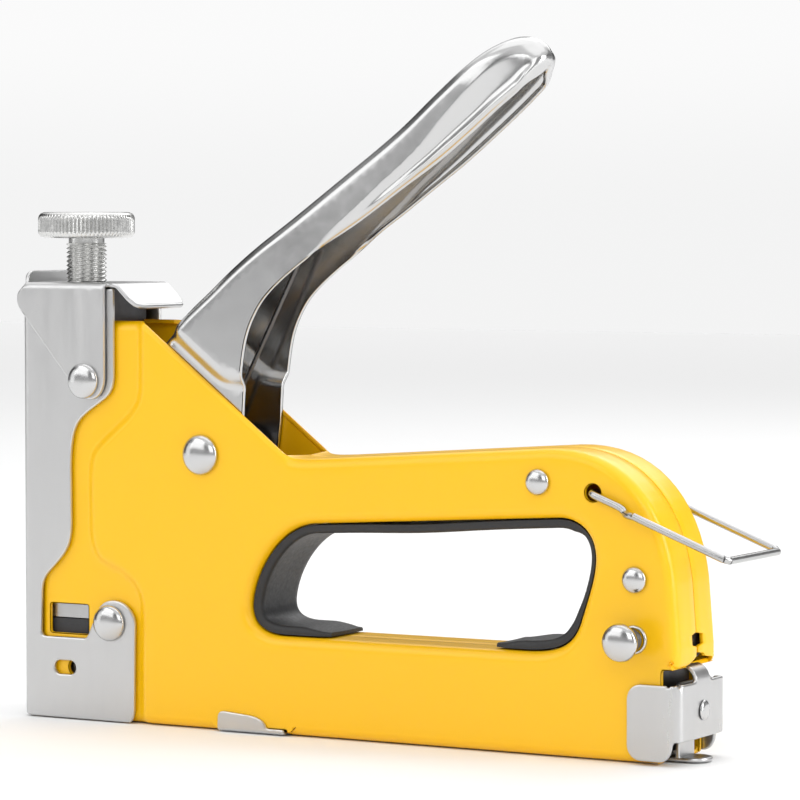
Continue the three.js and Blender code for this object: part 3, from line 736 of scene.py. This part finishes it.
def make_lever():
    outline = np.vstack((smooth_line(RIDGE, 1.0)[:-1], smooth_line(RIM, 1.0)[:-1]))
    outline = turned_left(dense(outline, 1.0))
    z = outline[:, 1]
    along = from_pivot(outline, ALONG_LEVER)
    on_rim = distance(outline, smooth_line(RIM[1:], 1.0)) < 0.4
    top = ~on_rim & (z > 90)
    half = lever_height(outline)
    radius = np.where(top, 3.2, 1.3)
    radius = np.where(top & (along > 120), np.interp(along, [120, 136], [3.2, 3.6]), radius)
    radius = np.minimum(radius, half * 0.62)
    wall = np.where(top, 0.0, (half - 2.0) * (1 - smoothstep(along, 129, 136.5)))
    grip = smoothstep(along, 58, 72)
    curl = np.where(top, 1.0, np.where(z > 100, grip, 0.0))
    radius = softened(radius, 2)
    line = dense(CREASE, 0.9, False)
    extra = [line + sideways(line) * o for o in (-1.2, -0.6, -0.2, 0.2, 0.7, 1.3, 2.0)]
    rim = dense(LEVER_RIM, 0.9, False)
    off = sideways(rim)
    if off[len(off) // 2][1] < 0:
        off = -off
    extra = np.vstack(extra + [rim + off * o for o in np.arange(1.9, 5.6, 0.45)])
    a, b = OFF_SLOPE
    flares = np.array([(PIVOT[0] + a * (n + max(0, s + 6) * 0.75) + b * s,
                        PIVOT[1] + b * (n + max(0, s + 6) * 0.75) - a * s)
                       for n in np.arange(16.6, 22.6, 0.55) for s in np.arange(-40, 20, 0.8)])
    near = pressed([(outline, radius, wall, curl)], lever_height, 1.5, np.vstack((extra, flares)), 7, 4,
                   0.7)
    whole = weld(*merged(near, mirrored(*near)), 0.01)
    place("lever_handle", thicken(*whole, 1.25, 0.3), "lever", ROUND_EDGE)


# ---------------------------------------------------------------- nose sheath
def make_sheath():
    width, bend, front = 11.6, 1.9, -2.5
    lead = bend_end(width, bend)

    def flat_x(x):
        return lead + (x - front - bend)

    side = draw((0.2, 0), (31.0, 0), (31.6, 0.3, 32.2, 1.6, 32.5, 3), (32.8, 25.9), (32.4, 29.5, 29.5, 31.8,
                                                                                     26.2, 31.8),
                (23.5, 31.8, 21.8, 30.6, 20.8, 28.4), (18.0, 22.4), (17.6, 21.7, 17.3, 21.4, 16.6, 21.4),
                (4.6, 21.4),
                (3.8, 21.5, 3.4, 21.8, 3.3, 22.6), (3.5, 33.3), (3.8, 37, 5.4, 38, 7.6, 40.2),
                (11.5, 44, 12.9, 46, 12.9, 52), (12.8, 66), (12.9, 76, 14.5, 78.2, 18.5, 81), (23.5, 84.3),
                (25.8, 86, 26.4, 88, 26.4, 91), (26.4, 112.6), (26.3, 112.9, 26.1, 113.1, 25.8, 113.1),
                (0.2, 113.1))
    right = np.column_stack((flat_x(side[:, 0]), side[:, 1]))
    top = draw((lead, 113.1), (11.2, 113.1), (10.6, 113.2, 10.4, 113.5, 10.4, 114.0), (10.4, 114.4),
               (10.2, 116.6, 9.0, 117.6, 6.9, 117.6), (0, 117.6))
    half = np.vstack(([(0, 0.7), (8.5, 0.7), (lead - 2.2, 0.55), (lead - 0.6, 0.1)], right, top))
    other = half[::-1][1:-1] * np.array([-1, 1])
    outline = turned_left(dense(np.vstack((half, other)), 0.9))
    slot = rounded([(x, z, 1.78) for x, z in ((7.5, 11.6), (14.1, 11.6), (14.1, 15.2), (7.5, 15.2))], 8)
    near = np.column_stack((flat_x(slot[:, 0]), slot[:, 1]))
    holes = [turned_left(dense(near, 0.6), False), turned_left(dense(near * np.array([-1, 1]), 0.6), False)]

    def fold(p):
        u, z = np.abs(p[:, 0]), p[:, 1]
        sign = np.sign(p[:, 0])
        angle, y = bent(u, width, bend)
        x = front + bend * (1 - np.cos(angle)) + np.maximum(0, u - lead)
        return np.column_stack((x, sign * y, z))

    extra = np.vstack((band(-lead, -(width - bend), 0, 117, 0.37, 2.5), band(width - bend, lead, 0, 117,
                                                                             0.37, 2.5)))
    cover = folded([outline] + holes, fold, 2.5, 1.2, 0.5, extra, over=True)
    place("nose_cover", cover, "nose_sheath", SHEET_EDGE)


# ---------------------------------------------------------------- top bracket
def make_bracket():
    width, bend, top = 13.1, 1.7, 114.6
    lead = bend_end(width, bend)

    def flat_v(z):
        return lead + (top - bend - z)

    ear = draw((-1.9, 112.9), (-2.8, 112.2, -3.1, 111.4, -3.1, 110.2), (-3.1, 108.6, -2.6, 107.9, -1.9,
                                                                        107),
               (14.6, 87.6), (16.6, 85.2, 18.8, 84, 20.4, 84.2), (23, 84.6, 24.4, 87, 24.4, 90),
               (24.4, 112.9))
    side = np.column_stack((ear[:, 0], flat_v(ear[:, 1])))
    half = np.vstack(([(-0.9, 0), (-0.9, width - bend - 0.4), (-1.1, lead - 1.0)], side,
                      [(24.4, lead - 0.8), (24.6, width - bend + 0.5), (25.4, 11.9), (26.6, 12.2)]))
    flap = rounded([(26.6, 12.2, 0), (36.9, 12.2, 4.5), (36.9, -12.2, 4.5), (26.6, -12.2, 0)], 9)
    other = half[::-1][1:-1] * np.array([1, -1])
    loop = np.vstack((half[:-1], flap, other))
    outline = dense(loop, 0.8)
    keep = np.linalg.norm(outline - np.roll(outline, 1, 0), axis=1) > 0.05
    outline = turned_left(outline[keep])
    hole = turned_left(circle(SCREW_X, 0, 5.75, 44), False)
    start, step = 26.6, 0.05
    run = np.arange(0, 14, step)
    slope = np.radians(np.interp(run, [0, 2.3, 8.0, 9.8], [0, 44, 44, 8]))
    run_x, run_z = np.cumsum(np.cos(slope)) * step, np.cumsum(np.sin(slope)) * step

    def fold(p):
        x, v = p[:, 0], p[:, 1]
        u, sign = np.abs(v), np.sign(v)
        angle, turned = bent(u, width, bend)
        ear_side = x < 25.6
        y = np.where(ear_side, turned, u)
        z = np.where(ear_side, top - bend * (1 - np.cos(angle)) - np.maximum(0, u - lead), top)
        x2 = np.where(x > start, start + np.interp(x - start, run, run_x), x)
        z = np.where(x > start, z - np.interp(x - start, run, run_z), z)
        return np.column_stack((x2, sign * y, z))

    extra = np.vstack((band(-1, 24.4, width - bend, lead, 2.0, 0.33), band(-1, 24.4, -lead, -(width - bend),
                                                                           2.0, 0.33),
                       band(26.6, 36.6, -12, 12, 0.45, 1.8)))
    place("top_cap", folded([outline, hole], fold, 2.2, 1.2, 0.45, extra), "top_bracket", SHEET_EDGE)


# ---------------------------------------------------------------- knob, screw, springs
def make_tension():
    def knurl(r, h, angles):
        body = smoothstep(h, 126.6, 127.7) * (1 - smoothstep(h, 131.2, 132.3)) * (r > 12)
        wave = np.abs(((angles * 72 / (2 * math.pi)) % 1) * 2 - 1)
        return r - 0.5 * body * wave ** 1.3

    knob = [(0, 126.15), (11.2, 126.15), (11.7, 126.3)]
    knob += [(12.2 + 0.55 * t, 126.6 + 0.9 * t) for t in (0, 0.4, 0.8, 1.0)]
    knob += [(12.75, 127.5 + 0.45 * k) for k in range(1, 9)]
    knob += [(12.7, 131.6), (12.45, 132.2), (12.0, 132.65), (11.3, 132.92), (10.6, 133.0), (10.2, 132.9),
             (9.6, 132.72), (0, 132.68)]
    place("load_knob", lathe(knob, 576, "Z", (SCREW_X, 0, 0), knurl), "tension_knob", KNURL_EDGE)

    def thread(r, h, angles):
        phase = (h / THREAD_PITCH - angles / (2 * math.pi)) % 1
        shape = np.abs(phase * 2 - 1)
        use = (r > 5.2) * (1 if 105.2 < h < 124.6 else 0)
        return r - 0.62 * shape * use

    stem = [(0, 104.4), (4.2, 104.4), (5.0, 105.1)] + [(5.38, h) for h in np.arange(105.3, 124.7,
                                                                                    THREAD_PITCH / 8)]
    stem += [(4.7, 124.9), (4.7, 126.3), (0, 126.3)]
    place("load_screw", lathe(stem, 64, "Z", (SCREW_X, 0, 0), thread), "tension_screw", KNURL_EDGE)
    seat = [(0, 99.5), (4.4, 99.5), (4.6, 99.7), (4.6, 101.4), (7.6, 101.4), (7.9, 101.7), (7.9, 103.8),
            (7.6, 104.1),
            (0, 104.1)]
    place("seat_cup", lathe(seat, 64, "Z", (SCREW_X, 0, 0)), "spring_seat")
    turns, t = 6.5, np.linspace(0, 1, 6 * 40)
    a = 2 * math.pi * turns * t
    path = np.column_stack((SCREW_X + 6.15 * np.cos(a), 6.15 * np.sin(a), 71.5 + 28.1 * t))
    main = place("power_spring", tube(path, 0.98, 12), "main_spring")
    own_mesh(main)


def make_return_spring():
    px, pz = PIVOT
    coil_radius, turns, steps = 5.6, 2.25, 90
    up = (0.449, 0.893)
    start = math.atan2(up[0], -up[1])
    leg = [(px - coil_radius * up[1] + up[0] * k, y, pz + coil_radius * up[0] + up[1] * k)
           for k, y in ((56, 6.6), (40, 6.2), (26, 5.8), (14, 5.2), (6, 4.8))]
    coil = []
    for i in range(steps + 1):
        a = start + 2 * math.pi * turns * i / steps
        coil.append((px + coil_radius * math.cos(a), 4.6 + 3.26 * i / steps,
                     pz + coil_radius * math.sin(a)))
    path = np.vstack((smooth_line(leg + [coil[0]], 2.0)[:-1], coil))
    place("lever_spring", tube(path, 0.62, 12), "return_spring")


# ---------------------------------------------------------------- rivets
def dome(radius, rise, seat, sign, shank, tail):
    """Rivet with a domed head that rolls in a little at its rim. Heights are along Y."""
    profile = [(0, tail), (shank, tail), (shank, seat), (radius * 0.93, seat),
               (radius * 0.985, seat + sign * 0.08),
               (radius, seat + sign * 0.3)]
    for k in range(1, 13):
        a = k / 12 * math.pi / 2
        reach = radius * math.cos(a) ** 0.92 if k < 12 else 0
        profile.append((reach, seat + sign * (0.3 + (rise - 0.3) * math.sin(a))))
    return profile


def make_rivets():
    for name, node, x, z, shank, head, rise, seat in (
        ("pivot_rivet", "lever_pivot_rivet", *PIVOT, 2.9, 5.25, 2.6, SHELL_HALF + 0.1),
        ("nose_rivet", "lower_rivet", 25, 25.8, 2.6, 4.75, 2.2, 11.7),
        ("handle_rivet_a", "handle_rivet_front", 150.7, 67.1, 1.8, 3.25, 1.9, SHELL_HALF + 0.1),
        ("handle_rivet_b", "handle_rivet_rear", 177.0, 44.4, 1.8, 3.25, 1.9, SHELL_HALF + 0.1),
    ):
        near = turned_over(*lathe(dome(head, rise, -seat, -1, shank, 0), 56, "Y", (x, 0, z)))
        place(name, merged(near, mirrored(*near)), node, DOME_EDGE)
    for side, sign in (("left", -1), ("right", 1)):
        shape = lathe(dome(4.65, 2.0, sign * 13.15, sign, 2.6, sign * 9.2), 56, "Y", (18.1, 0, 89))
        if sign < 0:
            shape = turned_over(*shape)
        place("cap_rivet_" + side, shape, "bracket_rivet_" + side, DOME_EDGE)
    rear = [(0, 186.0), (2.4, 186.0), (2.4, 188.4), (1.7, 188.4), (1.7, 190.15), (2.35, 190.15),
            (2.5, 190.3),
            (2.35, 190.55), (1.9, 190.8), (1.0, 190.88), (0, 190.9)]
    place("latch_pin", lathe(rear, 40, "X", (0, 0, 12.4)), "latch_rivet", ROUND_EDGE)


# ---------------------------------------------------------------- rubber lining
def volume_of(verts, faces):
    """Six times the volume within the four-sided faces, negative when they look inwards."""
    return sum(verts[f[0]] @ (np.cross(verts[f[1]], verts[f[2]]) + np.cross(verts[f[2]], verts[f[3]]))
               for f in faces if len(f) == 4)


def make_grip():
    line = dense(HAND, 1.2)
    line = turned_left(line, False)
    normals = -left_normals(line)
    gap = (line[:, 1] < 26.5) & (line[:, 0] > 90.5) & (line[:, 0] < 137)
    start = np.argmax(gap & ~np.roll(gap, 1))
    order = np.roll(np.arange(len(line)), -start)
    order = [i for i in order if not gap[i]]
    points, normals = line[order], normals[order]
    count = len(points)
    length = np.r_[0, np.cumsum(np.linalg.norm(np.diff(points, axis=0), axis=1))]
    from_end = np.minimum(length, length[-1] - length)
    thick = 1.0 + 1.1 * smoothstep(from_end, 0, 9) - 0.9 * smoothstep(points[:, 0], 160, 164)
    half = 9.2 - 1.2 * (1 - smoothstep(from_end, 0, 4))
    lift = 0.45 + 0.5 * np.exp(-((points[:, 0] - 117) / 16) ** 2) * (points[:, 1] > 50)
    verts, faces = [], []
    corner = [(-1, 0, 0.0), (-1, 0.35, 0.0), (-1, 0.75, 0.12), (-1, 1, 0.6), (-0.8, 1.0, 0),
              (-0.4, 0.93, 0),
              (0, 0.9, 0), (0.4, 0.93, 0), (0.8, 1.0, 0), (1, 1, -0.6), (1, 0.75, -0.12), (1, 0.35, 0),
              (1, 0, 0),
              (0.5, 0, 0), (-0.5, 0, 0)]
    for i in range(count):
        for side, depth, shift in corner:
            y = side * half[i] + shift
            d = lift[i] + thick[i] * depth
            p = points[i] + normals[i] * d
            verts.append((p[0], y, p[1]))
    n = len(corner)
    for i in range(count - 1):
        for k in range(n):
            m = (k + 1) % n
            faces.append((i * n + k, i * n + m, (i + 1) * n + m, (i + 1) * n + k))
    faces.append(tuple(range(n)))
    last = (count - 1) * n
    faces.append(tuple(reversed(range(last, last + n))))
    shape = (np.array(verts), faces)
    if volume_of(*shape) < 0:
        shape = turned_over(*shape)
    place("finger_lining", shape, "grip_insert", ROUND_EDGE)


# ---------------------------------------------------------------- magazine clip, latch, end plate
def make_clip():
    width, bend = 12.4, 0.9
    lead = bend_end(width, bend)
    lug = draw((58.5, 1.0), (58.6, 3.6), (58.8, 4.8, 59.4, 5.2, 61, 5.1), (68.3, 4.5),
               (71, 4.1, 72.6, 3.2, 72.9, 2.0),
               (73.1, 1.5, 73.6, 1.4, 74.4, 1.4), (77.8, 1.4), (78.2, 1.4, 78.4, 1.2, 78.4, 1.0))
    side = np.column_stack((lug[:, 0], lead + lug[:, 1] - bend))
    half = np.vstack(([(58.5, 0)], side, [(78.4, 0)]))
    other = side[::-1] * np.array([1, -1])
    outline = turned_left(dense(np.vstack((half, other)), 0.7))

    def fold(p):
        u, sign = np.abs(p[:, 1]), np.sign(p[:, 1])
        angle, y = bent(u, width, bend)
        z = bend * (1 - np.cos(angle)) + np.maximum(0, u - lead)
        return np.column_stack((p[:, 0], sign * y, z))

    extra = np.vstack((band(59, 78, width - bend, lead, 1.5, 0.2), band(59, 78, -lead, -(width - bend), 1.5,
                                                                        0.2)))
    saddle = folded([outline], fold, 1.6, 0.9, 0.35, extra, over=True)
    place("clip_saddle", saddle, "magazine_clip", SHEET_EDGE)


def make_latch():
    width, bend, back = 13.0, 2.4, 190.0
    lead = bend_end(width, bend)

    def flat_x(x):
        return lead + (back - bend - x)

    side = draw((179.5, 19.4), (177.1, 19.4, 175.5, 17.8, 175.5, 15.4), (175.5, 4.8),
                (175.5, 2.4, 177.1, 0.8, 179.5, 0.8),
                (184.2, 0.8), (186.2, 0.9, 187.2, 2.6, 187.5, 4.2), (187.6, 5.2, 187.9, 5.7, 188.6, 5.7))
    right = np.column_stack((flat_x(side[:, 0]), side[:, 1]))
    upper = draw((0, 27.4), (2.4, 27.4), (3.4, 27.4, 3.8, 26.8, 3.8, 25.8), (3.9, 21.2),
                 (3.9, 20.0, 4.4, 19.6, 5.4, 19.6),
                 (lead - 2.9, 19.6), (lead - 2.5, 19.0), (lead - 1.7, 19.0), (lead - 1.3, 19.5),
                 (lead + 0.4, 19.4),
                 (lead + 0.8, 19.0), (lead + 1.4, 19.0), (lead + 1.8, 19.4))
    half = np.vstack((upper, right, [(lead - 3.2, 5.7), (0, 5.7)]))
    other = half[::-1][1:-1] * np.array([-1, 1])
    outline = dense(np.vstack((half, other)), 0.6)
    keep = np.linalg.norm(outline - np.roll(outline, 1, 0), axis=1) > 0.05
    outline = turned_left(outline[keep])
    hole = turned_left(circle(0, 12.4, 1.9, 26), False)
    curl_radius, curl_from = 4.0, 19.7

    def fold(p):
        u, z, sign = np.abs(p[:, 0]), p[:, 1], np.sign(p[:, 0])
        angle, y = bent(u, width, bend)
        x = back - bend * (1 - np.cos(angle)) - np.maximum(0, u - lead)
        a = np.maximum(0, z - curl_from) / curl_radius * (u < 6)
        x = x - curl_radius * (1 - np.cos(a))
        z = np.where(a > 0, curl_from + curl_radius * np.sin(a), z)
        return np.column_stack((x, sign * y, z))

    extra = np.vstack((band(width - bend, lead, 1, 18, 0.4, 1.5), band(-lead, -(width - bend), 1, 18, 0.4,
                                                                       1.5),
                       band(-3.2, 3.2, 19.6, 27.0, 1.2, 0.6)))
    place("rear_catch", folded([outline, hole], fold, 1.8, 1.15, 0.45, extra), "rear_latch", SHEET_EDGE)

    turn = np.linspace(-1.5, 1.5, 20)
    tip = np.column_stack((187.6 + 4.5 * np.cos(turn), 4.5 * np.sin(turn)))
    near_side = draw((180.6, -3.6), (180.6, -4.3, 181.0, -4.5, 181.6, -4.5), (187.6, -4.5))
    far_side = draw((187.6, 4.5), (181.6, 4.5), (181.0, 4.5, 180.6, 4.3, 180.6, 3.6))
    foot = turned_left(dense(np.vstack((near_side, tip, far_side)), 0.6))
    plate = folded([foot], lambda p: np.column_stack((p[:, 0], p[:, 1], np.full(len(p), 1.05))), 1.2, 1.0,
                   0.42)
    post = turned_left(dense(rounded([(-4.4, 0.7, 0.3), (4.4, 0.7, 0.3), (4.4, 19.2, 1.2),
                                      (-4.4, 19.2, 1.2)], 4), 0.8))
    upright = folded([post], lambda p: np.column_stack((np.full(len(p), 184.5), p[:, 0], p[:, 1])),
                     1.5, 1.15, 0.35, over=True)
    place("end_foot", merged(plate, upright), "end_plate", SHEET_EDGE)


def make_catch():
    outline = rounded([(-9.3, 17.3, 0.5), (9.3, 17.3, 0.5), (9.3, 22.6, 0.6), (6.5, 24.4, 1.5),
                       (6.5, 38, 1.0),
                       (-6.5, 38, 1.0), (-6.5, 24.4, 1.5), (-9.3, 22.6, 0.6)], 4)

    def fold(p):
        step = smoothstep(p[:, 1], 22.8, 26.0)
        return np.column_stack((180.9 + 4.5 * step, p[:, 0], p[:, 1]))

    def tilt(p):
        return np.column_stack((p[:, 0], p[:, 1], 29.5 + 0.12 * p[:, 1]))

    plate = folded([turned_left(dense(outline, 0.7))], fold, 1.1, 0.9, 0.3, over=True)
    strip = rounded([(184.7, -2.6, 0.1), (186.9, -2.6, 0.5), (186.9, 1.2, 0.5), (184.7, 1.2, 0.1)], 3)
    tongue = folded([turned_left(dense(strip, 0.5))], tilt, 0.8, 0.9, 0.3)
    # Dark steel instead of the plate's own nickel finish is painted shade: it makes the inside of the shells,
    # seen through the rear opening, come out dark.
    place("catch_inside", merged(plate, tongue), "catch_plate", SHEET_EDGE, "dark_steel")


# ---------------------------------------------------------------- button
def make_button():
    x, z = BUTTON
    head = [(0, -7.3), (3.8, -7.3), (3.8, -8.3), (1.8, -8.4), (1.8, -18.5), (4.1, -18.6), (4.5, -18.75),
            (4.68, -19.1),
            (4.6, -19.5)]
    head += [(4.55 * math.cos(a), -19.6 - 1.8 * math.sin(a)) for a in np.linspace(0.12, math.pi / 2, 12)]
    head[-1] = (0, -21.4)
    place("press_button", turned_over(*lathe(head, 56, "Y", (x, 0, z))), "side_button", DOME_EDGE)
    rim = [(2.9, -12.2), (3.1, -12.25), (3.3, -12.15), (3.5, -11.9), (3.6, -11.55), (2.9, -11.55),
           (2.9, -12.2)]
    place("button_collar", turned_over(*lathe(rim, 48, "Y", (x, 0, z))), "button_rim", ROUND_EDGE)
    t = np.linspace(0, 1, 180)
    a = 2 * math.pi * 5.5 * t
    path = np.column_stack((x + 2.3 * np.cos(a), -18.15 + 5.8 * t, z + 2.3 * np.sin(a)))
    coil = place("button_coil", tube(path, 0.42, 10), "button_spring")
    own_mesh(coil)


# ---------------------------------------------------------------- wire bail
def make_bail():
    """Each row of half is (along the loop, half width, sideways off its plane)."""
    px, pz = BAIL_PIVOT
    dx, dz = 0.932, -0.363
    half = [(0, 9.0, 0), (0, 11.0, 0), (0.25, 12.3, 0), (1.4, 13.0, 0), (3.2, 13.0, 0), (8.6, 13.0, 0),
            (10.2, 13.15, 0.45),
            (11.2, 13.8, 0.7), (12.4, 14.7, 0.45), (14.0, 15.25, 0), (16, 15.3, 0), (37.2, 15.3, 0),
            (38.6, 15.1, 0),
            (39.7, 14.4, 0), (40.15, 13.2, 0), (40.2, 12, 0)]
    points = []
    for sign in (-1, 1):
        row = [(px + dx * a + dz * c, sign * y, pz + dz * a - dx * c) for a, y, c in half]
        points += row if sign < 0 else row[::-1]
    place("lock_wire", tube(smooth_line(points, 0.7), BAIL_WIRE, 16), "wire_bail")


# ---------------------------------------------------------------- coil in the magazine
def make_pusher_spring():
    turns, coil_radius = 31, 2.45
    t = np.linspace(0, 1, turns * 16)
    a = 2 * math.pi * turns * t
    path = np.column_stack((57.2 + 123.6 * t, coil_radius * np.cos(a), FEED_Z + coil_radius * np.sin(a)))
    coil = place("feed_spring", tube(path, 0.38, 8), "pusher_spring")
    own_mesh(coil)


make_shell(True)
make_shell(False)
make_lever()
make_sheath()
make_bracket()
make_tension()
make_return_spring()
make_rivets()
make_grip()
make_clip()
make_latch()
make_catch()
make_button()
make_bail()
make_pusher_spring()


# ---------------------------------------------------------------- stage and light
FLOOR_SIZE = 3.0
FLOOR_GAP = 0.0003
FLOOR_FAR = 0.9


def stage_plane():
    mesh = bpy.data.meshes.new("floor")
    corners = [(x * FLOOR_SIZE, y * FLOOR_SIZE, 0) for x, y in ((-1, -1), (1, -1), (1, 1), (-1, 1))]
    mesh.from_pydata(corners, [], [(0, 1, 2, 3)])
    floor = bpy.data.objects.new("floor", mesh)
    floor.location = (0, 0, -FLOOR_GAP)
    bpy.context.scene.collection.objects.link(floor)
    pale = bpy.data.materials.new("pale_floor")
    pale.use_nodes = True
    shader = pale.node_tree.nodes["Principled BSDF"]
    shader.inputs["Base Color"].default_value = (0.93, 0.93, 0.93, 1)
    shader.inputs["Roughness"].default_value = 0.9
    mesh.materials.append(pale)


def softbox(name, location, target, size, power):
    data = bpy.data.lights.new(name, "AREA")
    data.shape = "RECTANGLE"
    data.size, data.size_y = size
    data.energy = power
    lamp = bpy.data.objects.new(name, data)
    lamp.location = location
    lamp.rotation_euler = (Vector(target) - Vector(location)).to_track_quat("-Z", "Y").to_euler()
    bpy.context.scene.collection.objects.link(lamp)


def sky():
    """Soft surroundings for reflections, and a plain pale backdrop seen past the floor."""
    world = bpy.context.scene.world or bpy.data.worlds.new("world")
    bpy.context.scene.world = world
    world.use_nodes = True
    tree = world.node_tree
    link = tree.links.new
    tree.nodes.clear()
    where = add(tree, "TexCoord").outputs["Generated"]
    split = add(tree, "SeparateXYZ")
    link(where, split.inputs["Vector"])
    up = split.outputs["Z"]
    height = add(tree, "ValToRGB")
    ramp = height.color_ramp
    ramp.elements[0].position, ramp.elements[0].color = 0.48, (0.5, 0.5, 0.51, 1)
    ramp.elements[1].position, ramp.elements[1].color = 0.85, (0.9, 0.9, 0.9, 1)
    for position, value in ((0.53, 0.42), (0.6, 0.40), (0.68, 0.16), (0.74, 0.2)):
        ramp.elements.new(position).color = (value, value, value, 1)
    lift = add(tree, "Math", {1: 0.5, 2: 0.5}, operation="MULTIPLY_ADD")
    link(up, lift.inputs[0])
    link(lift.outputs["Value"], height.inputs["Fac"])
    turn = add(tree, "VectorMath", {1: (-0.75, 0.66, 0.0)}, operation="DOT_PRODUCT")
    link(where, turn.inputs[0])
    shade = add(tree, "MapRange", {"From Min": 0.25, "From Max": 0.75, "To Min": 1.0, "To Max": 0.12})
    link(turn.outputs["Value"], shade.inputs["Value"])
    high = add(tree, "MapRange", {"From Min": 0.35, "From Max": 0.6})
    link(up, high.inputs["Value"])
    keep = add(tree, "Mix", {"B": 1.0}, data_type="FLOAT")
    link(high.outputs["Result"], keep.inputs["Factor"])
    link(shade.outputs["Result"], keep.inputs["A"])
    soft = add(tree, "Background")
    link(height.outputs["Color"], soft.inputs["Color"])
    link(keep.outputs["Result"], soft.inputs["Strength"])
    backdrop = add(tree, "MapRange", {"From Min": 0.0, "From Max": 0.05, "To Min": FLOOR_FAR,
                                      "To Max": 0.96},
                   interpolation_type="SMOOTHSTEP")
    link(up, backdrop.inputs["Value"])
    plain = add(tree, "Background", {"Color": (1, 1, 1, 1)})
    link(backdrop.outputs["Result"], plain.inputs["Strength"])
    mix = add(tree, "MixShader")
    link(add(tree, "LightPath").outputs["Is Camera Ray"], mix.inputs["Fac"])
    link(soft.outputs["Background"], mix.inputs[1])
    link(plain.outputs["Background"], mix.inputs[2])
    link(mix.outputs["Shader"], add(tree, "OutputWorld").inputs["Surface"])


stage_plane()
softbox("key", (-0.55, -1.05, 0.75), (0.09, 0, 0.07), (1.1, 0.9), 4.5)
softbox("left", (-1.2, -0.75, 0.25), (0.09, 0, 0.08), (0.5, 0.9), 1.2)
softbox("front", (0.9, -1.2, 0.7), (0.09, 0, 0.07), (0.9, 0.7), 4.0)
softbox("right", (1.3, 0.1, 0.5), (0.09, 0, 0.07), (0.5, 0.9), 7)
softbox("back", (0.2, 1.2, 0.9), (0.09, 0, 0.07), (1.2, 0.5), 3)
softbox("far", (-2.2, 4.2, 3.0), (-2.0, 3.6, 0), (6, 6), 75)
softbox("top", (0.1, 0.1, 1.4), (0.09, 0, 0.05), (1.4, 1.4), 4)
sky()
bpy.context.scene.view_settings.view_transform = "Standard"
bpy.context.scene.view_settings.look = "None"
